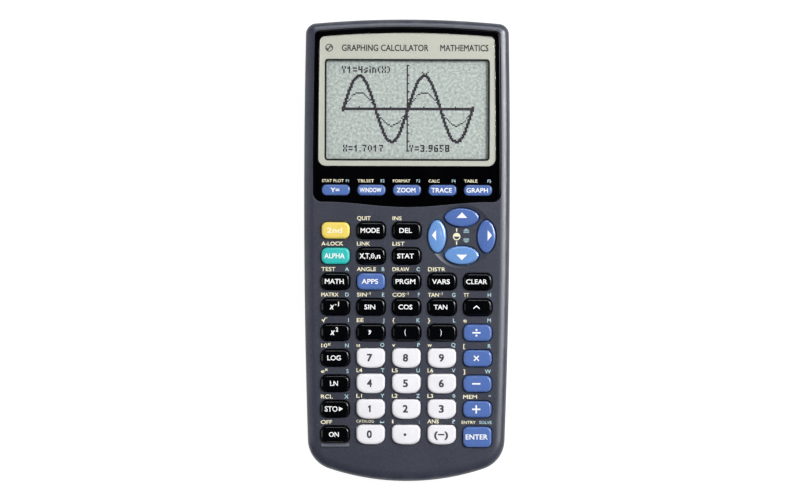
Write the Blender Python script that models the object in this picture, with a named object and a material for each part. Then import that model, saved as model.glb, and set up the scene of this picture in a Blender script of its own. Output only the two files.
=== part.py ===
"""Graphing calculator: two casing halves, a display stack, a keypad of fifty
keys on a rubber mat, a circuit board, four cells and a hinged battery door.

The calculator lies on its back. +Z points out of the display, +Y runs towards
the display end and +X to the right. The origin is on the table, under the
middle of the case. Sizes are in millimetres here, and each mesh is scaled to
metres as it is finished.
"""

import math

import bmesh
import bpy
from mathutils import Matrix, Vector

MM = 0.001

# Case outline, seen from the front: four shallow arcs joined by corner arcs.
LENGTH = 185.0
WIDTH = 82.5
WIDEST_Y = 28.5
SIDE_ARC = 3000.0
TOP_ARC = 405.0
BOTTOM_ARC = 98.0
TOP_CORNER = 4.3
BOTTOM_CORNER = 12.3
STRAIGHT = 20000.0

# Heights above the table.
BACK_Z = 0.6
SPLIT_Z = 11.5
FACE_Z = 20.8
BEZEL_Z = 20.4
DISPLAY_FLOOR_Z = 17.2
BEZEL_SEAT_Z = 18.7
KEYPAD_CEILING_Z = 18.8

GAP = 0.3
FRONT_WALL = 1.8
REAR_WALL = 3.0
REAR_FLOOR = 1.8
FRONT_ROUND = 3.0
REAR_ROUND = 3.5
EDGE_BREAK = 0.3
TONGUE_INSET = FRONT_WALL + GAP
TONGUE_HEIGHT = 1.5
TONGUE_ROOT = 3.0
OVERLAP = 0.5
THROUGH = 2.0
ROOT = 0.9
STEP = 0.1
ROUND_SEGMENTS = 3
GROOVE_DEPTH = 1.2
GROOVE_Z = (6.4, 8.2)
GROOVE_LOW_Y, GROOVE_HIGH_Y = -56.0, 80.5
GROOVE_STEPS = 6

# Display stack.
RIM_WIDTH = 3.5
TOP_RIM_WIDTH = 3.05
BEZEL_BOTTOM_Y = 19.25
BEZEL_DIP = 2.05
BEZEL_DIP_HALF_WIDTH = 33.0
BEZEL_TOP_CORNER = 2.2
BEZEL_BOTTOM_CORNER = 3.6
LENS_INSET = 5.7
LENS_TOP_INSET = 5.45
LENS_BOTTOM_Y = 33.7
LENS_CORNER = 2.4
LENS_TOP_Z = 20.9
LENS_THICKNESS = 1.1
DISPLAY_Y = 56.4
VIEW_WIDTH = 65.4
VIEW_HEIGHT = 40.3
VIEW_CORNER = 1.0
GLASS_MARGIN = 0.8
BEZEL_VIEW_MARGIN = 0.5
SEAT_VIEW_MARGIN = 1.4
PANEL_HALF_WIDTH, PANEL_HALF_HEIGHT = 36.0, 25.4
PANEL_BOTTOM_Z = 15.4

# Keypad grid. Row 0 is the bottom row and column 0 is in the middle.
COLUMN_PITCH = 14.22
ROW_PITCH = 10.2
ROW_0_Y = -73.7
FUNCTION_ROW_Y = 24.05
ARROW_X, ARROW_Y = 22.0, 5.65
ARROW_REACH_X, ARROW_REACH_Y = 9.85, 7.55
ARROW_DISH_RADIUS = 12.9
ARROW_DISH_DEPTH = 0.45

KEY_WIDTH, KEY_HEIGHT, KEY_CORNER = 11.2, 6.5, 2.3
NUMBER_WIDTH, NUMBER_HEIGHT, NUMBER_CORNER = 11.3, 7.75, 2.1
NUMBER_BELLY_POWER = 2.7
ENTER_HEIGHT, ENTER_CORNER, ENTER_DROP = 8.1, 2.0, 0.85
FUNCTION_WIDTH, FUNCTION_HEIGHT, FUNCTION_CORNER = 11.0, 4.15, 1.7
PETAL_LENGTH, SIDE_PETAL_LENGTH, PETAL_WIDTH, PETAL_POWER = 13.7, 13.0, 7.2, 1.8

FLANGE_WIDTH = 0.7
FLANGE_THICKNESS = 1.0
KEY_TRAVEL = 1.0
FUNCTION_TRAVEL = 0.8
KEY_RISE = 1.7
FUNCTION_RISE = 1.1
ARROW_RISE = 1.3
KEY_EDGE = 0.7
KEY_EDGE_DROP = 0.5
OPENING_DEPTH = 1.2

# The hollow over the key flanges, with a bay that reaches up under the highest arrow key.
POCKET_WALL = FRONT_WALL + 0.6
POCKET_CORNER = 1.5
POCKET_TOP_Y = 16.2
ARROW_BAY_X, ARROW_BAY_Y = (13.8, 30.2), (10.0, 18.1)

# The bar under the key that switches it on.
GUARD_DROP, GUARD_HEIGHT, GUARD_CORNER, GUARD_RISE = 0.9, 1.1, 0.5, 0.8

KEY_ROWS = (
    ("on", "0", "point", "negate", "enter"),
    ("store", "1", "2", "3", "plus"),
    ("ln", "4", "5", "6", "minus"),
    ("log", "7", "8", "9", "multiply"),
    ("square", "comma", "paren_open", "paren_close", "divide"),
    ("inverse", "sin", "cos", "tan", "power"),
    ("math", "apps", "program", "vars", "clear"),
    ("alpha", "variable", "stat"),
    ("second", "mode", "delete"),
)
FUNCTION_ROW = ("y_equals", "window", "zoom", "trace", "graph")
ARROWS = {"up": (0, 1), "down": (0, -1), "left": (-1, 0), "right": (1, 0)}
NUMBER_KEYS = set("0123456789") | {"point", "negate"}
BLUE_KEYS = {"apps", "divide", "multiply", "minus", "plus", "enter", *FUNCTION_ROW, *ARROWS}

# Inside.
BOARD_BOTTOM_Z, BOARD_TOP_Z = 11.0, 12.6
MAT_BOTTOM_Z, MAT_TOP_Z = 12.9, 13.9
BOARD_HALF_WIDTH = 33.4
BOARD_LOW_Y, BOARD_HIGH_Y = -78.2, 26.6
DOME_RADIUS, FUNCTION_DOME_RADIUS = 3.0, 1.9
DOME_TAPER = 0.8
JACK_Z = 7.4
PORT_RADIUS, PORT_DEPTH = 2.9, 6.0
SOCKET_RADIUS, SOCKET_BORE_RADIUS = 2.5, 1.27
SOCKET_RECESS = 0.9
SOCKET_LOW_Y, SOCKET_BORE_END_Y = -87.0, -79.0
SOCKET_BLOCK_HALF_WIDTH, SOCKET_BLOCK_Y = 4.0, (-88.6, -76.6)
TAIL_HALF_WIDTH, TAIL_LOW_Y = 8.0, -87.0
CHIP_HEIGHT, CHIP_SINK = 1.8, 0.4
CHIPS = (  # x, y, width, height
    (0, -20, 20, 20),
    (-20, -18, 12, 18),
    (20, -22, 9, 14),
    (-14, -46, 8, 4),
    (12, -48, 5, 9),
)

SCREWS = ((33.0, 85.4), (35.9, 18.6), (17.5, -83.5))
POST_RADIUS = 1.9
WELL_RADIUS = 3.4
SCREW_HEAD_RADIUS = 2.2
SCREW_SHANK_RADIUS = 1.2
PILOT_RADIUS, PILOT_DEPTH = 0.9, 6.0
WELL_TOP_Z = 9.0
WELL_ROOF = 1.8
BOARD_STANDS, STAND_RADIUS = ((24.0, -62.0), (24.0, 6.0)), 1.6
FEET, FOOT_RADIUS = ((31.5, 68.0), (31.5, -66.0)), 4.0

# Battery compartment: four cells side by side behind the display.
CELL_RADIUS = 5.2
CELL_PITCH = 11.2
CELL_LENGTH = 44.5
CELL_LOW_Y = 34.6
CELL_Z = 8.0
NUB_RADIUS, NUB_LENGTH = 1.9, 1.2
STRIP_REACH, STRIP_HALF_HEIGHT = 2.5, 2.6
STRIP_Y = (-0.3, 0.5)  # from the cells' upper ends
RIB_HALF_WIDTH, RIB_Y, RIB_LOW_Z = 0.25, (44.0, 70.0), 9.5
TUB_HALF_WIDTH = 22.8
TUB_LOW_Y, TUB_HIGH_Y = 29.0, 83.0
TUB_CEILING_Z, TUB_TOP_Z = 13.6, 15.0
TUB_WALL = 3.6
TUB_LOW_WALL = 1.8
DOOR_LOW_Y, DOOR_HIGH_Y = 31.0, 84.8
DOOR_HALF_WIDTH = 24.6
DOOR_OUTER_Z = 0.8
HOOK_X, HOOK_HALF_WIDTH, HOOK_TOP_Z = 14.0, 2.5, 3.7
LATCH_HALF_WIDTH, LATCH_Y, LATCH_TOP_Z = 4.0, (80.6, 81.8), 4.2
GRIP_HALF_WIDTH, GRIP_LOW_Y, GRIP_PITCH, GRIP_SLOT, GRIP_COUNT = 8.0, 74.0, 1.6, 0.8, 4
GRIP_DEPTH = 0.5

PLASTIC = {
    "case_grey": ((0.062, 0.068, 0.088), 0.55),
    "bezel_black": ((0.004, 0.004, 0.005), 0.18),
    "key_black": ((0.008, 0.009, 0.011), 0.35),
    "key_blue": ((0.11, 0.21, 0.50), 0.35),
    "key_white": ((0.85, 0.85, 0.88), 0.40),
    "key_yellow": ((0.94, 0.76, 0.24), 0.40),
    "key_green": ((0.03, 0.53, 0.47), 0.40),
    "lens_clear": ((0.60, 0.61, 0.56), 0.10),
    "lcd_glass": ((0.48, 0.54, 0.50), 0.25),
    "mat_rubber": ((0.45, 0.46, 0.47), 0.75),
    "board_green": ((0.03, 0.17, 0.07), 0.50),
    "cell_jacket": ((0.30, 0.31, 0.32), 0.30),
}


# ---------------------------------------------------------------- outlines


def circles_meet(first, first_radius, second, second_radius, near):
    """Of the two points where two circles meet, the one nearer to a given point."""
    span = second - first
    distance = span.length
    along = (first_radius**2 - second_radius**2 + distance**2) / (2 * distance)
    across = math.sqrt(first_radius**2 - along**2)
    middle = first + span * (along / distance)
    normal = Vector((-span.y, span.x)) / distance
    return min(middle + normal * across, middle - normal * across, key=lambda p: (p - near).length)


def arc(centre, radius, start, end, steps):
    """Points along an arc, both ends included."""
    return [
        centre + radius * Vector((math.cos(a), math.sin(a)))
        for a in (start + (end - start) * i / steps for i in range(steps + 1))
    ]


def heading(vector):
    return math.atan2(vector.y, vector.x)


def case_outline(
    inset, top_inset=None, top_corner=None, bottom_corner=None, top_y=None, bottom_y=None
):
    """The case's outline moved inwards by inset.

    A given top_y or bottom_y ends it there instead, with an edge that is as good as straight.
    """
    side_centre = Vector((WIDTH / 2 - SIDE_ARC, WIDEST_Y))
    side_radius = SIDE_ARC - inset
    if top_y is None:
        top_centre = Vector((0, LENGTH / 2 - TOP_ARC))
        top_radius = TOP_ARC - (inset if top_inset is None else top_inset)
    else:
        top_centre = Vector((0, top_y - STRAIGHT))
        top_radius = STRAIGHT
    if bottom_y is None:
        bottom_centre = Vector((0, BOTTOM_ARC - LENGTH / 2))
        bottom_radius = BOTTOM_ARC - inset
    else:
        bottom_centre = Vector((0, bottom_y + STRAIGHT))
        bottom_radius = STRAIGHT
    top_round = top_corner or TOP_CORNER - inset
    bottom_round = bottom_corner or BOTTOM_CORNER - inset

    low = circles_meet(
        side_centre,
        side_radius - bottom_round,
        bottom_centre,
        bottom_radius - bottom_round,
        Vector((WIDTH / 2, -LENGTH / 2)),
    )
    high = circles_meet(
        side_centre,
        side_radius - top_round,
        top_centre,
        top_radius - top_round,
        Vector((WIDTH / 2, LENGTH / 2)),
    )
    bottom_turn = heading(low - bottom_centre)
    low_turn = heading(low - side_centre)
    high_turn = heading(high - side_centre)
    top_turn = heading(high - top_centre)

    right = arc(bottom_centre, bottom_radius, -math.pi / 2, bottom_turn, 5)[:-1]
    right += arc(low, bottom_round, bottom_turn, low_turn, 5)
    right += arc(side_centre, side_radius, low_turn, high_turn, 5)[1:-1]
    right += arc(high, top_round, high_turn, top_turn, 4)
    right += arc(top_centre, top_radius, top_turn, math.pi / 2, 4)[1:]
    left = [Vector((-p.x, p.y)) for p in reversed(right[1:-1])]
    return right + left


def half_width(y):
    """Half the case's width at y, away from its corners."""
    return WIDTH / 2 - (y - WIDEST_Y) ** 2 / (2 * SIDE_ARC)


def bezel_outline(inset):
    """The black bezel: the case's arcs above, and a bottom edge that dips in the middle."""
    outline = case_outline(
        RIM_WIDTH + inset,
        top_inset=TOP_RIM_WIDTH + inset,
        top_corner=BEZEL_TOP_CORNER - inset,
        bottom_corner=BEZEL_BOTTOM_CORNER - inset,
        bottom_y=BEZEL_BOTTOM_Y + inset,
    )
    for point in outline:
        reach = abs(point.x) / BEZEL_DIP_HALF_WIDTH
        if point.y < BEZEL_BOTTOM_Y + inset + 0.1 and reach < 1:
            point.y -= BEZEL_DIP * (1 + math.cos(math.pi * reach)) / 2
    return outline


def lens_outline(inset):
    return case_outline(
        LENS_INSET + inset,
        top_inset=LENS_TOP_INSET + inset,
        top_corner=LENS_CORNER - inset,
        bottom_corner=LENS_CORNER - inset,
        bottom_y=LENS_BOTTOM_Y + inset,
    )


def view_outline(margin):
    """The display's opening, widened all round by a margin."""
    opening = rounded_rectangle(VIEW_WIDTH + 2 * margin, VIEW_HEIGHT + 2 * margin, VIEW_CORNER)
    return [p + Vector((0, DISPLAY_Y)) for p in opening]


def rounded_rectangle(width, height, radius, steps=2):
    """A rectangle round the origin with arcs for corners."""
    points = []
    for quarter, (sx, sy) in enumerate(((1, 1), (-1, 1), (-1, -1), (1, -1))):
        centre = Vector((sx * (width / 2 - radius), sy * (height / 2 - radius)))
        points += arc(centre, radius, quarter * math.pi / 2, (quarter + 1) * math.pi / 2, steps)
    return points


def number_outline(grow):
    """A number key: square shoulders on top, and a bottom half that is a superellipse."""
    reach, rise = NUMBER_WIDTH / 2 + grow, NUMBER_HEIGHT / 2 + grow
    radius = NUMBER_CORNER + grow
    roundness = 2 / NUMBER_BELLY_POWER
    points = []
    for side in (1, -1):
        centre = Vector((side * (reach - radius), rise - radius))
        start = 0 if side == 1 else math.pi / 2
        points += arc(centre, radius, start, start + math.pi / 2, 2)
    for i in range(1, 8):
        turn = math.pi * i / 8
        x = -reach * math.copysign(abs(math.cos(turn)) ** roundness, math.cos(turn))
        points.append(Vector((x, -rise * math.sin(turn) ** roundness)))
    return points


def petal_outline(length, grow, steps=16):
    """An arrow key: an ellipse drawn out a little at both ends."""
    points = []
    for i in range(steps):
        turn = 2 * math.pi * i / steps
        rise = math.copysign(abs(math.sin(turn)) ** (2 / PETAL_POWER), math.sin(turn))
        x = (length / 2 + grow) * math.cos(turn)
        points.append(Vector((x, (PETAL_WIDTH / 2 + grow) * rise)))
    return points


# ------------------------------------------------------------- mesh helpers


def raise_face(bm, face, height):
    """Extrudes a face straight up, keeping the face itself, and returns the raised one."""
    grown = bmesh.ops.extrude_face_region(bm, geom=[face], use_keep_orig=True)
    raised = next(f for f in grown["geom"] if isinstance(f, bmesh.types.BMFace))
    bmesh.ops.translate(bm, verts=raised.verts[:], vec=(0, 0, height))
    return raised


def add_prism(bm, outline, low, high):
    """Extrudes an outline from low to high, and returns its bottom and top faces."""
    floor = bm.faces.new([bm.verts.new((p.x, p.y, low)) for p in outline])
    roof = raise_face(bm, floor, high - low)
    bmesh.ops.recalc_face_normals(bm, faces=bm.faces[:])
    return floor, roof


def round_edges(bm, face, radius, segments):
    bmesh.ops.bevel(
        bm, geom=face.edges[:], offset=radius, segments=segments, profile=0.5, affect="EDGES"
    )


def add_box(bm, x_range, y_range, z_range):
    low = Vector((x_range[0], y_range[0], z_range[0]))
    high = Vector((x_range[1], y_range[1], z_range[1]))
    place = Matrix.Translation((low + high) / 2) @ Matrix.Diagonal((*(high - low), 1))
    bmesh.ops.create_cube(bm, size=1, matrix=place)


def add_cylinder(bm, centre, radius, low, high, axis="Z", segments=16, far_radius=None):
    """A cylinder, or a cone if far_radius is given, from low to high along an axis."""
    turn = Matrix.Rotation(-math.pi / 2, 4, "X") if axis == "Y" else Matrix.Identity(4)
    middle = (low + high) / 2
    place = (centre[0], centre[1], middle) if axis == "Z" else (centre[0], middle, centre[1])
    bmesh.ops.create_cone(
        bm,
        cap_ends=True,
        segments=segments,
        radius1=radius,
        radius2=radius if far_radius is None else far_radius,
        depth=high - low,
        matrix=Matrix.Translation(place) @ turn,
    )


class Model:
    """Collects the finished objects, their materials and the cutters."""

    def __init__(self, name):
        self.parts = self.new_collection(name)
        self.helpers = self.new_collection("cutters")
        self.materials = {}

    @staticmethod
    def new_collection(name):
        collection = bpy.data.collections.new(name)
        bpy.context.scene.collection.children.link(collection)
        return collection

    def material(self, name):
        if name not in self.materials:
            colour, roughness = PLASTIC[name]
            made = bpy.data.materials.new(name)
            made.use_nodes = True
            shader = made.node_tree.nodes["Principled BSDF"]
            shader.inputs["Base Color"].default_value = (*colour, 1)
            shader.inputs["Roughness"].default_value = roughness
            shader.inputs["Metallic"].default_value = 0.0
            self.materials[name] = made
        return self.materials[name]

    def mesh(self, name, bm, material=None):
        """Turns a bmesh in millimetres into a mesh in metres."""
        bm.transform(Matrix.Diagonal((MM, MM, MM, 1)))
        data = bpy.data.meshes.new(name)
        bm.to_mesh(data)
        bm.free()
        data.shade_smooth()
        data.set_sharp_from_angle(angle=math.radians(35))
        if material:
            data.materials.append(self.material(material))
        return data

    def part(self, name, data, location=(0, 0, 0), turn=0.0):
        """Places a mesh as one sub-part, its origin at location."""
        made = bpy.data.objects.new(name, data)
        made.location = Vector(location) * MM
        made.rotation_euler.z = turn
        self.parts.objects.link(made)
        return made

    def change(self, target, name, operation, fill):
        """Cuts from target, or joins to it, the shapes that fill(bmesh) draws in world millimetres."""
        bm = bmesh.new()
        fill(bm)
        bm.transform(Matrix.Translation(-target.location / MM))
        helper = bpy.data.objects.new(name, self.mesh(name, bm))
        helper.location = target.location
        helper.hide_render = True
        helper.display_type = "WIRE"
        self.helpers.objects.link(helper)
        modifier = target.modifiers.new(name, "BOOLEAN")
        modifier.operation = operation
        modifier.solver = "EXACT"
        modifier.use_self = True
        modifier.object = helper

    def cut(self, target, name, fill):
        self.change(target, name, "DIFFERENCE", fill)

    def join(self, target, name, fill):
        self.change(target, name, "UNION", fill)


# ---------------------------------------------------------------------- keys


class Key:
    """One key: where it stands, its outline, and how far it rises and travels."""

    def __init__(self, name, x, y, turn=0.0):
        self.name, self.x, self.y, self.turn = name, x, y, turn
        self.is_function = name in FUNCTION_ROW
        self.is_arrow = name in ARROWS
        self.face = BEZEL_Z if self.is_function else FACE_Z
        self.ceiling = DISPLAY_FLOOR_Z if self.is_function else KEYPAD_CEILING_Z
        self.travel = FUNCTION_TRAVEL if self.is_function else KEY_TRAVEL
        self.flange_bottom = self.ceiling - GAP - FLANGE_THICKNESS

    @property
    def style(self):
        if self.is_function:
            return "function"
        if self.is_arrow:
            return "arrow"
        if self.name in NUMBER_KEYS:
            return "number"
        return "enter" if self.name == "enter" else "standard"

    @property
    def rise(self):
        """How far the top stands over the face round the key."""
        return {"function": FUNCTION_RISE, "arrow": ARROW_RISE}.get(self.style, KEY_RISE)

    @property
    def colour(self):
        if self.name in NUMBER_KEYS:
            return "key_white"
        if self.name in BLUE_KEYS:
            return "key_blue"
        return {"second": "key_yellow", "alpha": "key_green"}.get(self.name, "key_black")

    def local_outline(self, grow):
        if self.style == "number":
            return number_outline(grow)
        if self.is_arrow:
            return petal_outline(SIDE_PETAL_LENGTH if self.turn else PETAL_LENGTH, grow)
        width, height, radius = {
            "function": (FUNCTION_WIDTH, FUNCTION_HEIGHT, FUNCTION_CORNER),
            "enter": (KEY_WIDTH, ENTER_HEIGHT, ENTER_CORNER),
            "standard": (KEY_WIDTH, KEY_HEIGHT, KEY_CORNER),
        }[self.style]
        return rounded_rectangle(width + 2 * grow, height + 2 * grow, radius + grow)

    def world_outline(self, grow):
        turned = Matrix.Rotation(self.turn, 2)
        return [turned @ p + Vector((self.x, self.y)) for p in self.local_outline(grow)]


def key_layout():
    """Every key with its place on the keypad."""
    keys = []
    for row, names in enumerate(KEY_ROWS):
        for column, name in enumerate(names):
            y = ROW_0_Y + row * ROW_PITCH
            if name == "enter":
                y -= ENTER_DROP
            keys.append(Key(name, (column - 2) * COLUMN_PITCH, y))
    for column, name in enumerate(FUNCTION_ROW):
        keys.append(Key(name, (column - 2) * COLUMN_PITCH, FUNCTION_ROW_Y))
    for name, (dx, dy) in ARROWS.items():
        x, y = ARROW_X + dx * ARROW_REACH_X, ARROW_Y + dy * ARROW_REACH_Y
        keys.append(Key(name, x, y, turn=math.pi / 2 if dx else 0.0))
    return keys


def keycap_mesh(model, key):
    """A keycap about its own origin on the face: a flange, a body, and a bevelled top edge."""
    flange_low = key.flange_bottom - key.face
    flange_high = flange_low + FLANGE_THICKNESS
    bm = bmesh.new()
    roof = add_prism(bm, key.local_outline(FLANGE_WIDTH), flange_low, flange_high)[1]
    bmesh.ops.inset_region(bm, faces=[roof], thickness=FLANGE_WIDTH, use_even_offset=True)
    foot = roof
    roof = raise_face(bm, foot, key.rise - KEY_EDGE_DROP - flange_high)
    bmesh.ops.delete(bm, geom=[foot], context="FACES_ONLY")
    bmesh.ops.inset_region(
        bm, faces=[roof], thickness=KEY_EDGE, depth=KEY_EDGE_DROP, use_even_offset=True
    )
    bmesh.ops.recalc_face_normals(bm, faces=bm.faces[:])
    return model.mesh(f"{key.style}_{key.colour}", bm, key.colour)


def build_keys(model, keys):
    shared = {}
    for key in keys:
        look = (key.style, key.colour, key.turn)
        if look not in shared:
            shared[look] = keycap_mesh(model, key)
        model.part(f"key_{key.name}", shared[look], (key.x, key.y, key.face), key.turn)


# --------------------------------------------------------------------- case


def both_sides(points):
    return [(side * x, y) for x, y in points for side in (-1, 1)]


def build_front_case(model, keys):
    """The upper shell, with the bezel's seat, the key openings and the screw posts."""
    bm = bmesh.new()
    face = add_prism(bm, case_outline(0), SPLIT_Z, FACE_Z)[1]
    round_edges(bm, face, FRONT_ROUND, ROUND_SEGMENTS)
    case = model.part("front_case", model.mesh("front_case", bm, "case_grey"))

    def hollow(bm):
        add_prism(bm, case_outline(FRONT_WALL), SPLIT_Z - THROUGH, DISPLAY_FLOOR_Z)

    def keypad_pocket(bm):
        pocket = case_outline(POCKET_WALL, top_corner=POCKET_CORNER, top_y=POCKET_TOP_Y)
        add_prism(bm, pocket, DISPLAY_FLOOR_Z - OVERLAP, KEYPAD_CEILING_Z)

    def arrow_bay(bm):
        z_range = (DISPLAY_FLOOR_Z - OVERLAP - STEP, KEYPAD_CEILING_Z - STEP)
        add_box(bm, ARROW_BAY_X, ARROW_BAY_Y, z_range)

    def bezel_seat(bm):
        add_prism(bm, bezel_outline(0), BEZEL_SEAT_Z, FACE_Z + THROUGH)

    def display_opening(bm):
        add_prism(bm, view_outline(SEAT_VIEW_MARGIN), DISPLAY_FLOOR_Z - OVERLAP, FACE_Z)

    def arrow_dish(bm):
        floor = FACE_Z - ARROW_DISH_DEPTH
        place = (ARROW_X, ARROW_Y)
        add_cylinder(bm, place, ARROW_DISH_RADIUS, floor, FACE_Z + THROUGH, segments=40)

    def key_openings(bm):
        for key in keys:
            add_prism(bm, key.world_outline(GAP), key.ceiling - OPENING_DEPTH, FACE_Z + THROUGH)

    def posts(bm):
        for x, y in both_sides(SCREWS):
            top = KEYPAD_CEILING_Z if y < 0 else DISPLAY_FLOOR_Z
            add_cylinder(bm, (x, y), POST_RADIUS, WELL_TOP_Z + GAP, top + OVERLAP, segments=12)

    def pilot_holes(bm):
        for place in both_sides(SCREWS):
            low, high = WELL_TOP_Z - THROUGH, WELL_TOP_Z + PILOT_DEPTH
            add_cylinder(bm, place, PILOT_RADIUS, low, high, segments=8)

    def on_key_guard(bm):
        centre = Vector((-2 * COLUMN_PITCH, ROW_0_Y - KEY_HEIGHT / 2 - GUARD_DROP))
        bar = rounded_rectangle(KEY_WIDTH, GUARD_HEIGHT, GUARD_CORNER)
        add_prism(bm, [p + centre for p in bar], FACE_Z - OVERLAP, FACE_Z + GUARD_RISE)

    model.cut(case, "cut_hollow", hollow)
    model.cut(case, "cut_keypad_pocket", keypad_pocket)
    model.cut(case, "cut_arrow_bay", arrow_bay)
    model.cut(case, "cut_bezel_seat", bezel_seat)
    model.cut(case, "cut_display_opening", display_opening)
    model.cut(case, "cut_arrow_dish", arrow_dish)
    model.cut(case, "cut_key_openings", key_openings)
    model.join(case, "add_posts", posts)
    model.cut(case, "cut_pilot_holes", pilot_holes)
    model.join(case, "add_on_key_guard", on_key_guard)


def build_rear_case(model):
    """The lower shell, with the battery tub, the screw wells, the feet and a groove down each side."""
    bm = bmesh.new()
    top = SPLIT_Z - GAP
    back = add_prism(bm, case_outline(0), BACK_Z, top)[0]
    round_edges(bm, back, REAR_ROUND, ROUND_SEGMENTS)
    case = model.part("rear_case", model.mesh("rear_case", bm, "case_grey"))
    floor = BACK_Z + REAR_FLOOR

    def tongue(bm):
        add_prism(bm, case_outline(TONGUE_INSET), top - TONGUE_ROOT, SPLIT_Z + TONGUE_HEIGHT)

    def hollow(bm):
        add_prism(bm, case_outline(REAR_WALL), floor, SPLIT_Z + TONGUE_HEIGHT + THROUGH)

    def side_grooves(bm):
        length = GROOVE_HIGH_Y - GROOVE_LOW_Y
        heights = [GROOVE_LOW_Y + length * i / GROOVE_STEPS for i in range(GROOVE_STEPS + 1)]
        inner = [Vector((half_width(y) - GROOVE_DEPTH, y)) for y in heights]
        outside = WIDTH / 2 + THROUGH
        right = [Vector((outside, GROOVE_LOW_Y)), Vector((outside, GROOVE_HIGH_Y))] + inner[::-1]
        add_prism(bm, right, *GROOVE_Z)
        add_prism(bm, [Vector((-p.x, p.y)) for p in reversed(right)], *GROOVE_Z)

    def tub(bm):
        width = TUB_HALF_WIDTH + TUB_WALL
        y_range = (TUB_LOW_Y - TUB_LOW_WALL, TUB_HIGH_Y + TUB_WALL)
        add_box(bm, (-width, width), y_range, (floor - ROOT - STEP, TUB_TOP_Z))

    def wells_and_stands(bm):
        for place in both_sides(SCREWS):
            add_cylinder(bm, place, WELL_RADIUS, floor - ROOT, WELL_TOP_Z, segments=16)
        for place in both_sides(BOARD_STANDS):
            top = BOARD_BOTTOM_Z - GAP
            add_cylinder(bm, place, STAND_RADIUS, floor - OVERLAP, top, segments=10)

    def feet(bm):
        for place in both_sides(FEET):
            add_cylinder(bm, place, FOOT_RADIUS, 0, BACK_Z + OVERLAP, segments=20)

    def tub_hollow(bm):
        width = TUB_HALF_WIDTH
        add_box(bm, (-width, width), (TUB_LOW_Y, TUB_HIGH_Y), (floor - OVERLAP, TUB_CEILING_Z))

    def door_opening(bm):
        width = DOOR_HALF_WIDTH
        add_box(bm, (-width, width), (DOOR_LOW_Y, DOOR_HIGH_Y), (-THROUGH, floor + GAP))

    def screw_holes(bm):
        for place in both_sides(SCREWS):
            roof = WELL_TOP_Z - WELL_ROOF
            add_cylinder(bm, place, SCREW_HEAD_RADIUS, -THROUGH, roof, segments=16)
            add_cylinder(bm, place, SCREW_SHANK_RADIUS, roof - 1, WELL_TOP_Z + 1, segments=12)

    def port_hole(bm):
        low, high = -LENGTH / 2 - THROUGH, -LENGTH / 2 + PORT_DEPTH
        add_cylinder(bm, (0, JACK_Z), PORT_RADIUS, low, high, axis="Y", segments=20)

    def cell_ribs(bm):
        for x in (-CELL_PITCH, 0.0, CELL_PITCH):
            x_range = (x - RIB_HALF_WIDTH, x + RIB_HALF_WIDTH)
            add_box(bm, x_range, RIB_Y, (RIB_LOW_Z, TUB_CEILING_Z + OVERLAP))

    model.join(case, "add_tongue", tongue)
    model.cut(case, "cut_rear_hollow", hollow)
    model.cut(case, "cut_side_grooves", side_grooves)
    model.join(case, "add_tub", tub)
    model.join(case, "add_wells_and_stands", wells_and_stands)
    model.join(case, "add_feet", feet)
    model.cut(case, "cut_tub_hollow", tub_hollow)
    model.cut(case, "cut_door_opening", door_opening)
    model.cut(case, "cut_screw_holes", screw_holes)
    model.cut(case, "cut_port_hole", port_hole)
    model.join(case, "add_cell_ribs", cell_ribs)


def build_battery_door(model):
    """A flush plate hinged at its lower outer edge, with hook tabs there and a latch opposite."""
    inner_z = BACK_Z + REAR_FLOOR
    low, high = DOOR_LOW_Y + GAP, DOOR_HIGH_Y - GAP
    half = DOOR_HALF_WIDTH - GAP
    hinge = Vector((0, DOOR_LOW_Y, BACK_Z))
    bm = bmesh.new()
    add_box(bm, (-half, half), (low, high), (DOOR_OUTER_Z, inner_z))
    bm.transform(Matrix.Translation(-hinge))
    door = model.part("battery_door", model.mesh("battery_door", bm, "case_grey"), hinge)

    def hooks(bm):
        stem, tip = HOOK_HALF_WIDTH, HOOK_HALF_WIDTH - STEP
        stem_z = (inner_z - OVERLAP, HOOK_TOP_Z)
        tip_y = (TUB_LOW_Y + 0.5, low + 1 - STEP)
        tip_z = (inner_z + GAP, HOOK_TOP_Z - STEP)
        for x in (-HOOK_X, HOOK_X):
            add_box(bm, (x - stem, x + stem), (low, low + 1), stem_z)
            add_box(bm, (x - tip, x + tip), tip_y, tip_z)

    def latch(bm):
        x_range = (-LATCH_HALF_WIDTH, LATCH_HALF_WIDTH)
        add_box(bm, x_range, LATCH_Y, (inner_z - OVERLAP, LATCH_TOP_Z))

    def grip(bm):
        for i in range(GRIP_COUNT):
            y = GRIP_LOW_Y + GRIP_PITCH * i
            x_range = (-GRIP_HALF_WIDTH, GRIP_HALF_WIDTH)
            add_box(bm, x_range, (y, y + GRIP_SLOT), (0, DOOR_OUTER_Z + GRIP_DEPTH))

    model.join(door, "add_hooks", hooks)
    model.join(door, "add_latch", latch)
    model.cut(door, "cut_grip", grip)


# ----------------------------------------------------------- display and inside


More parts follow.
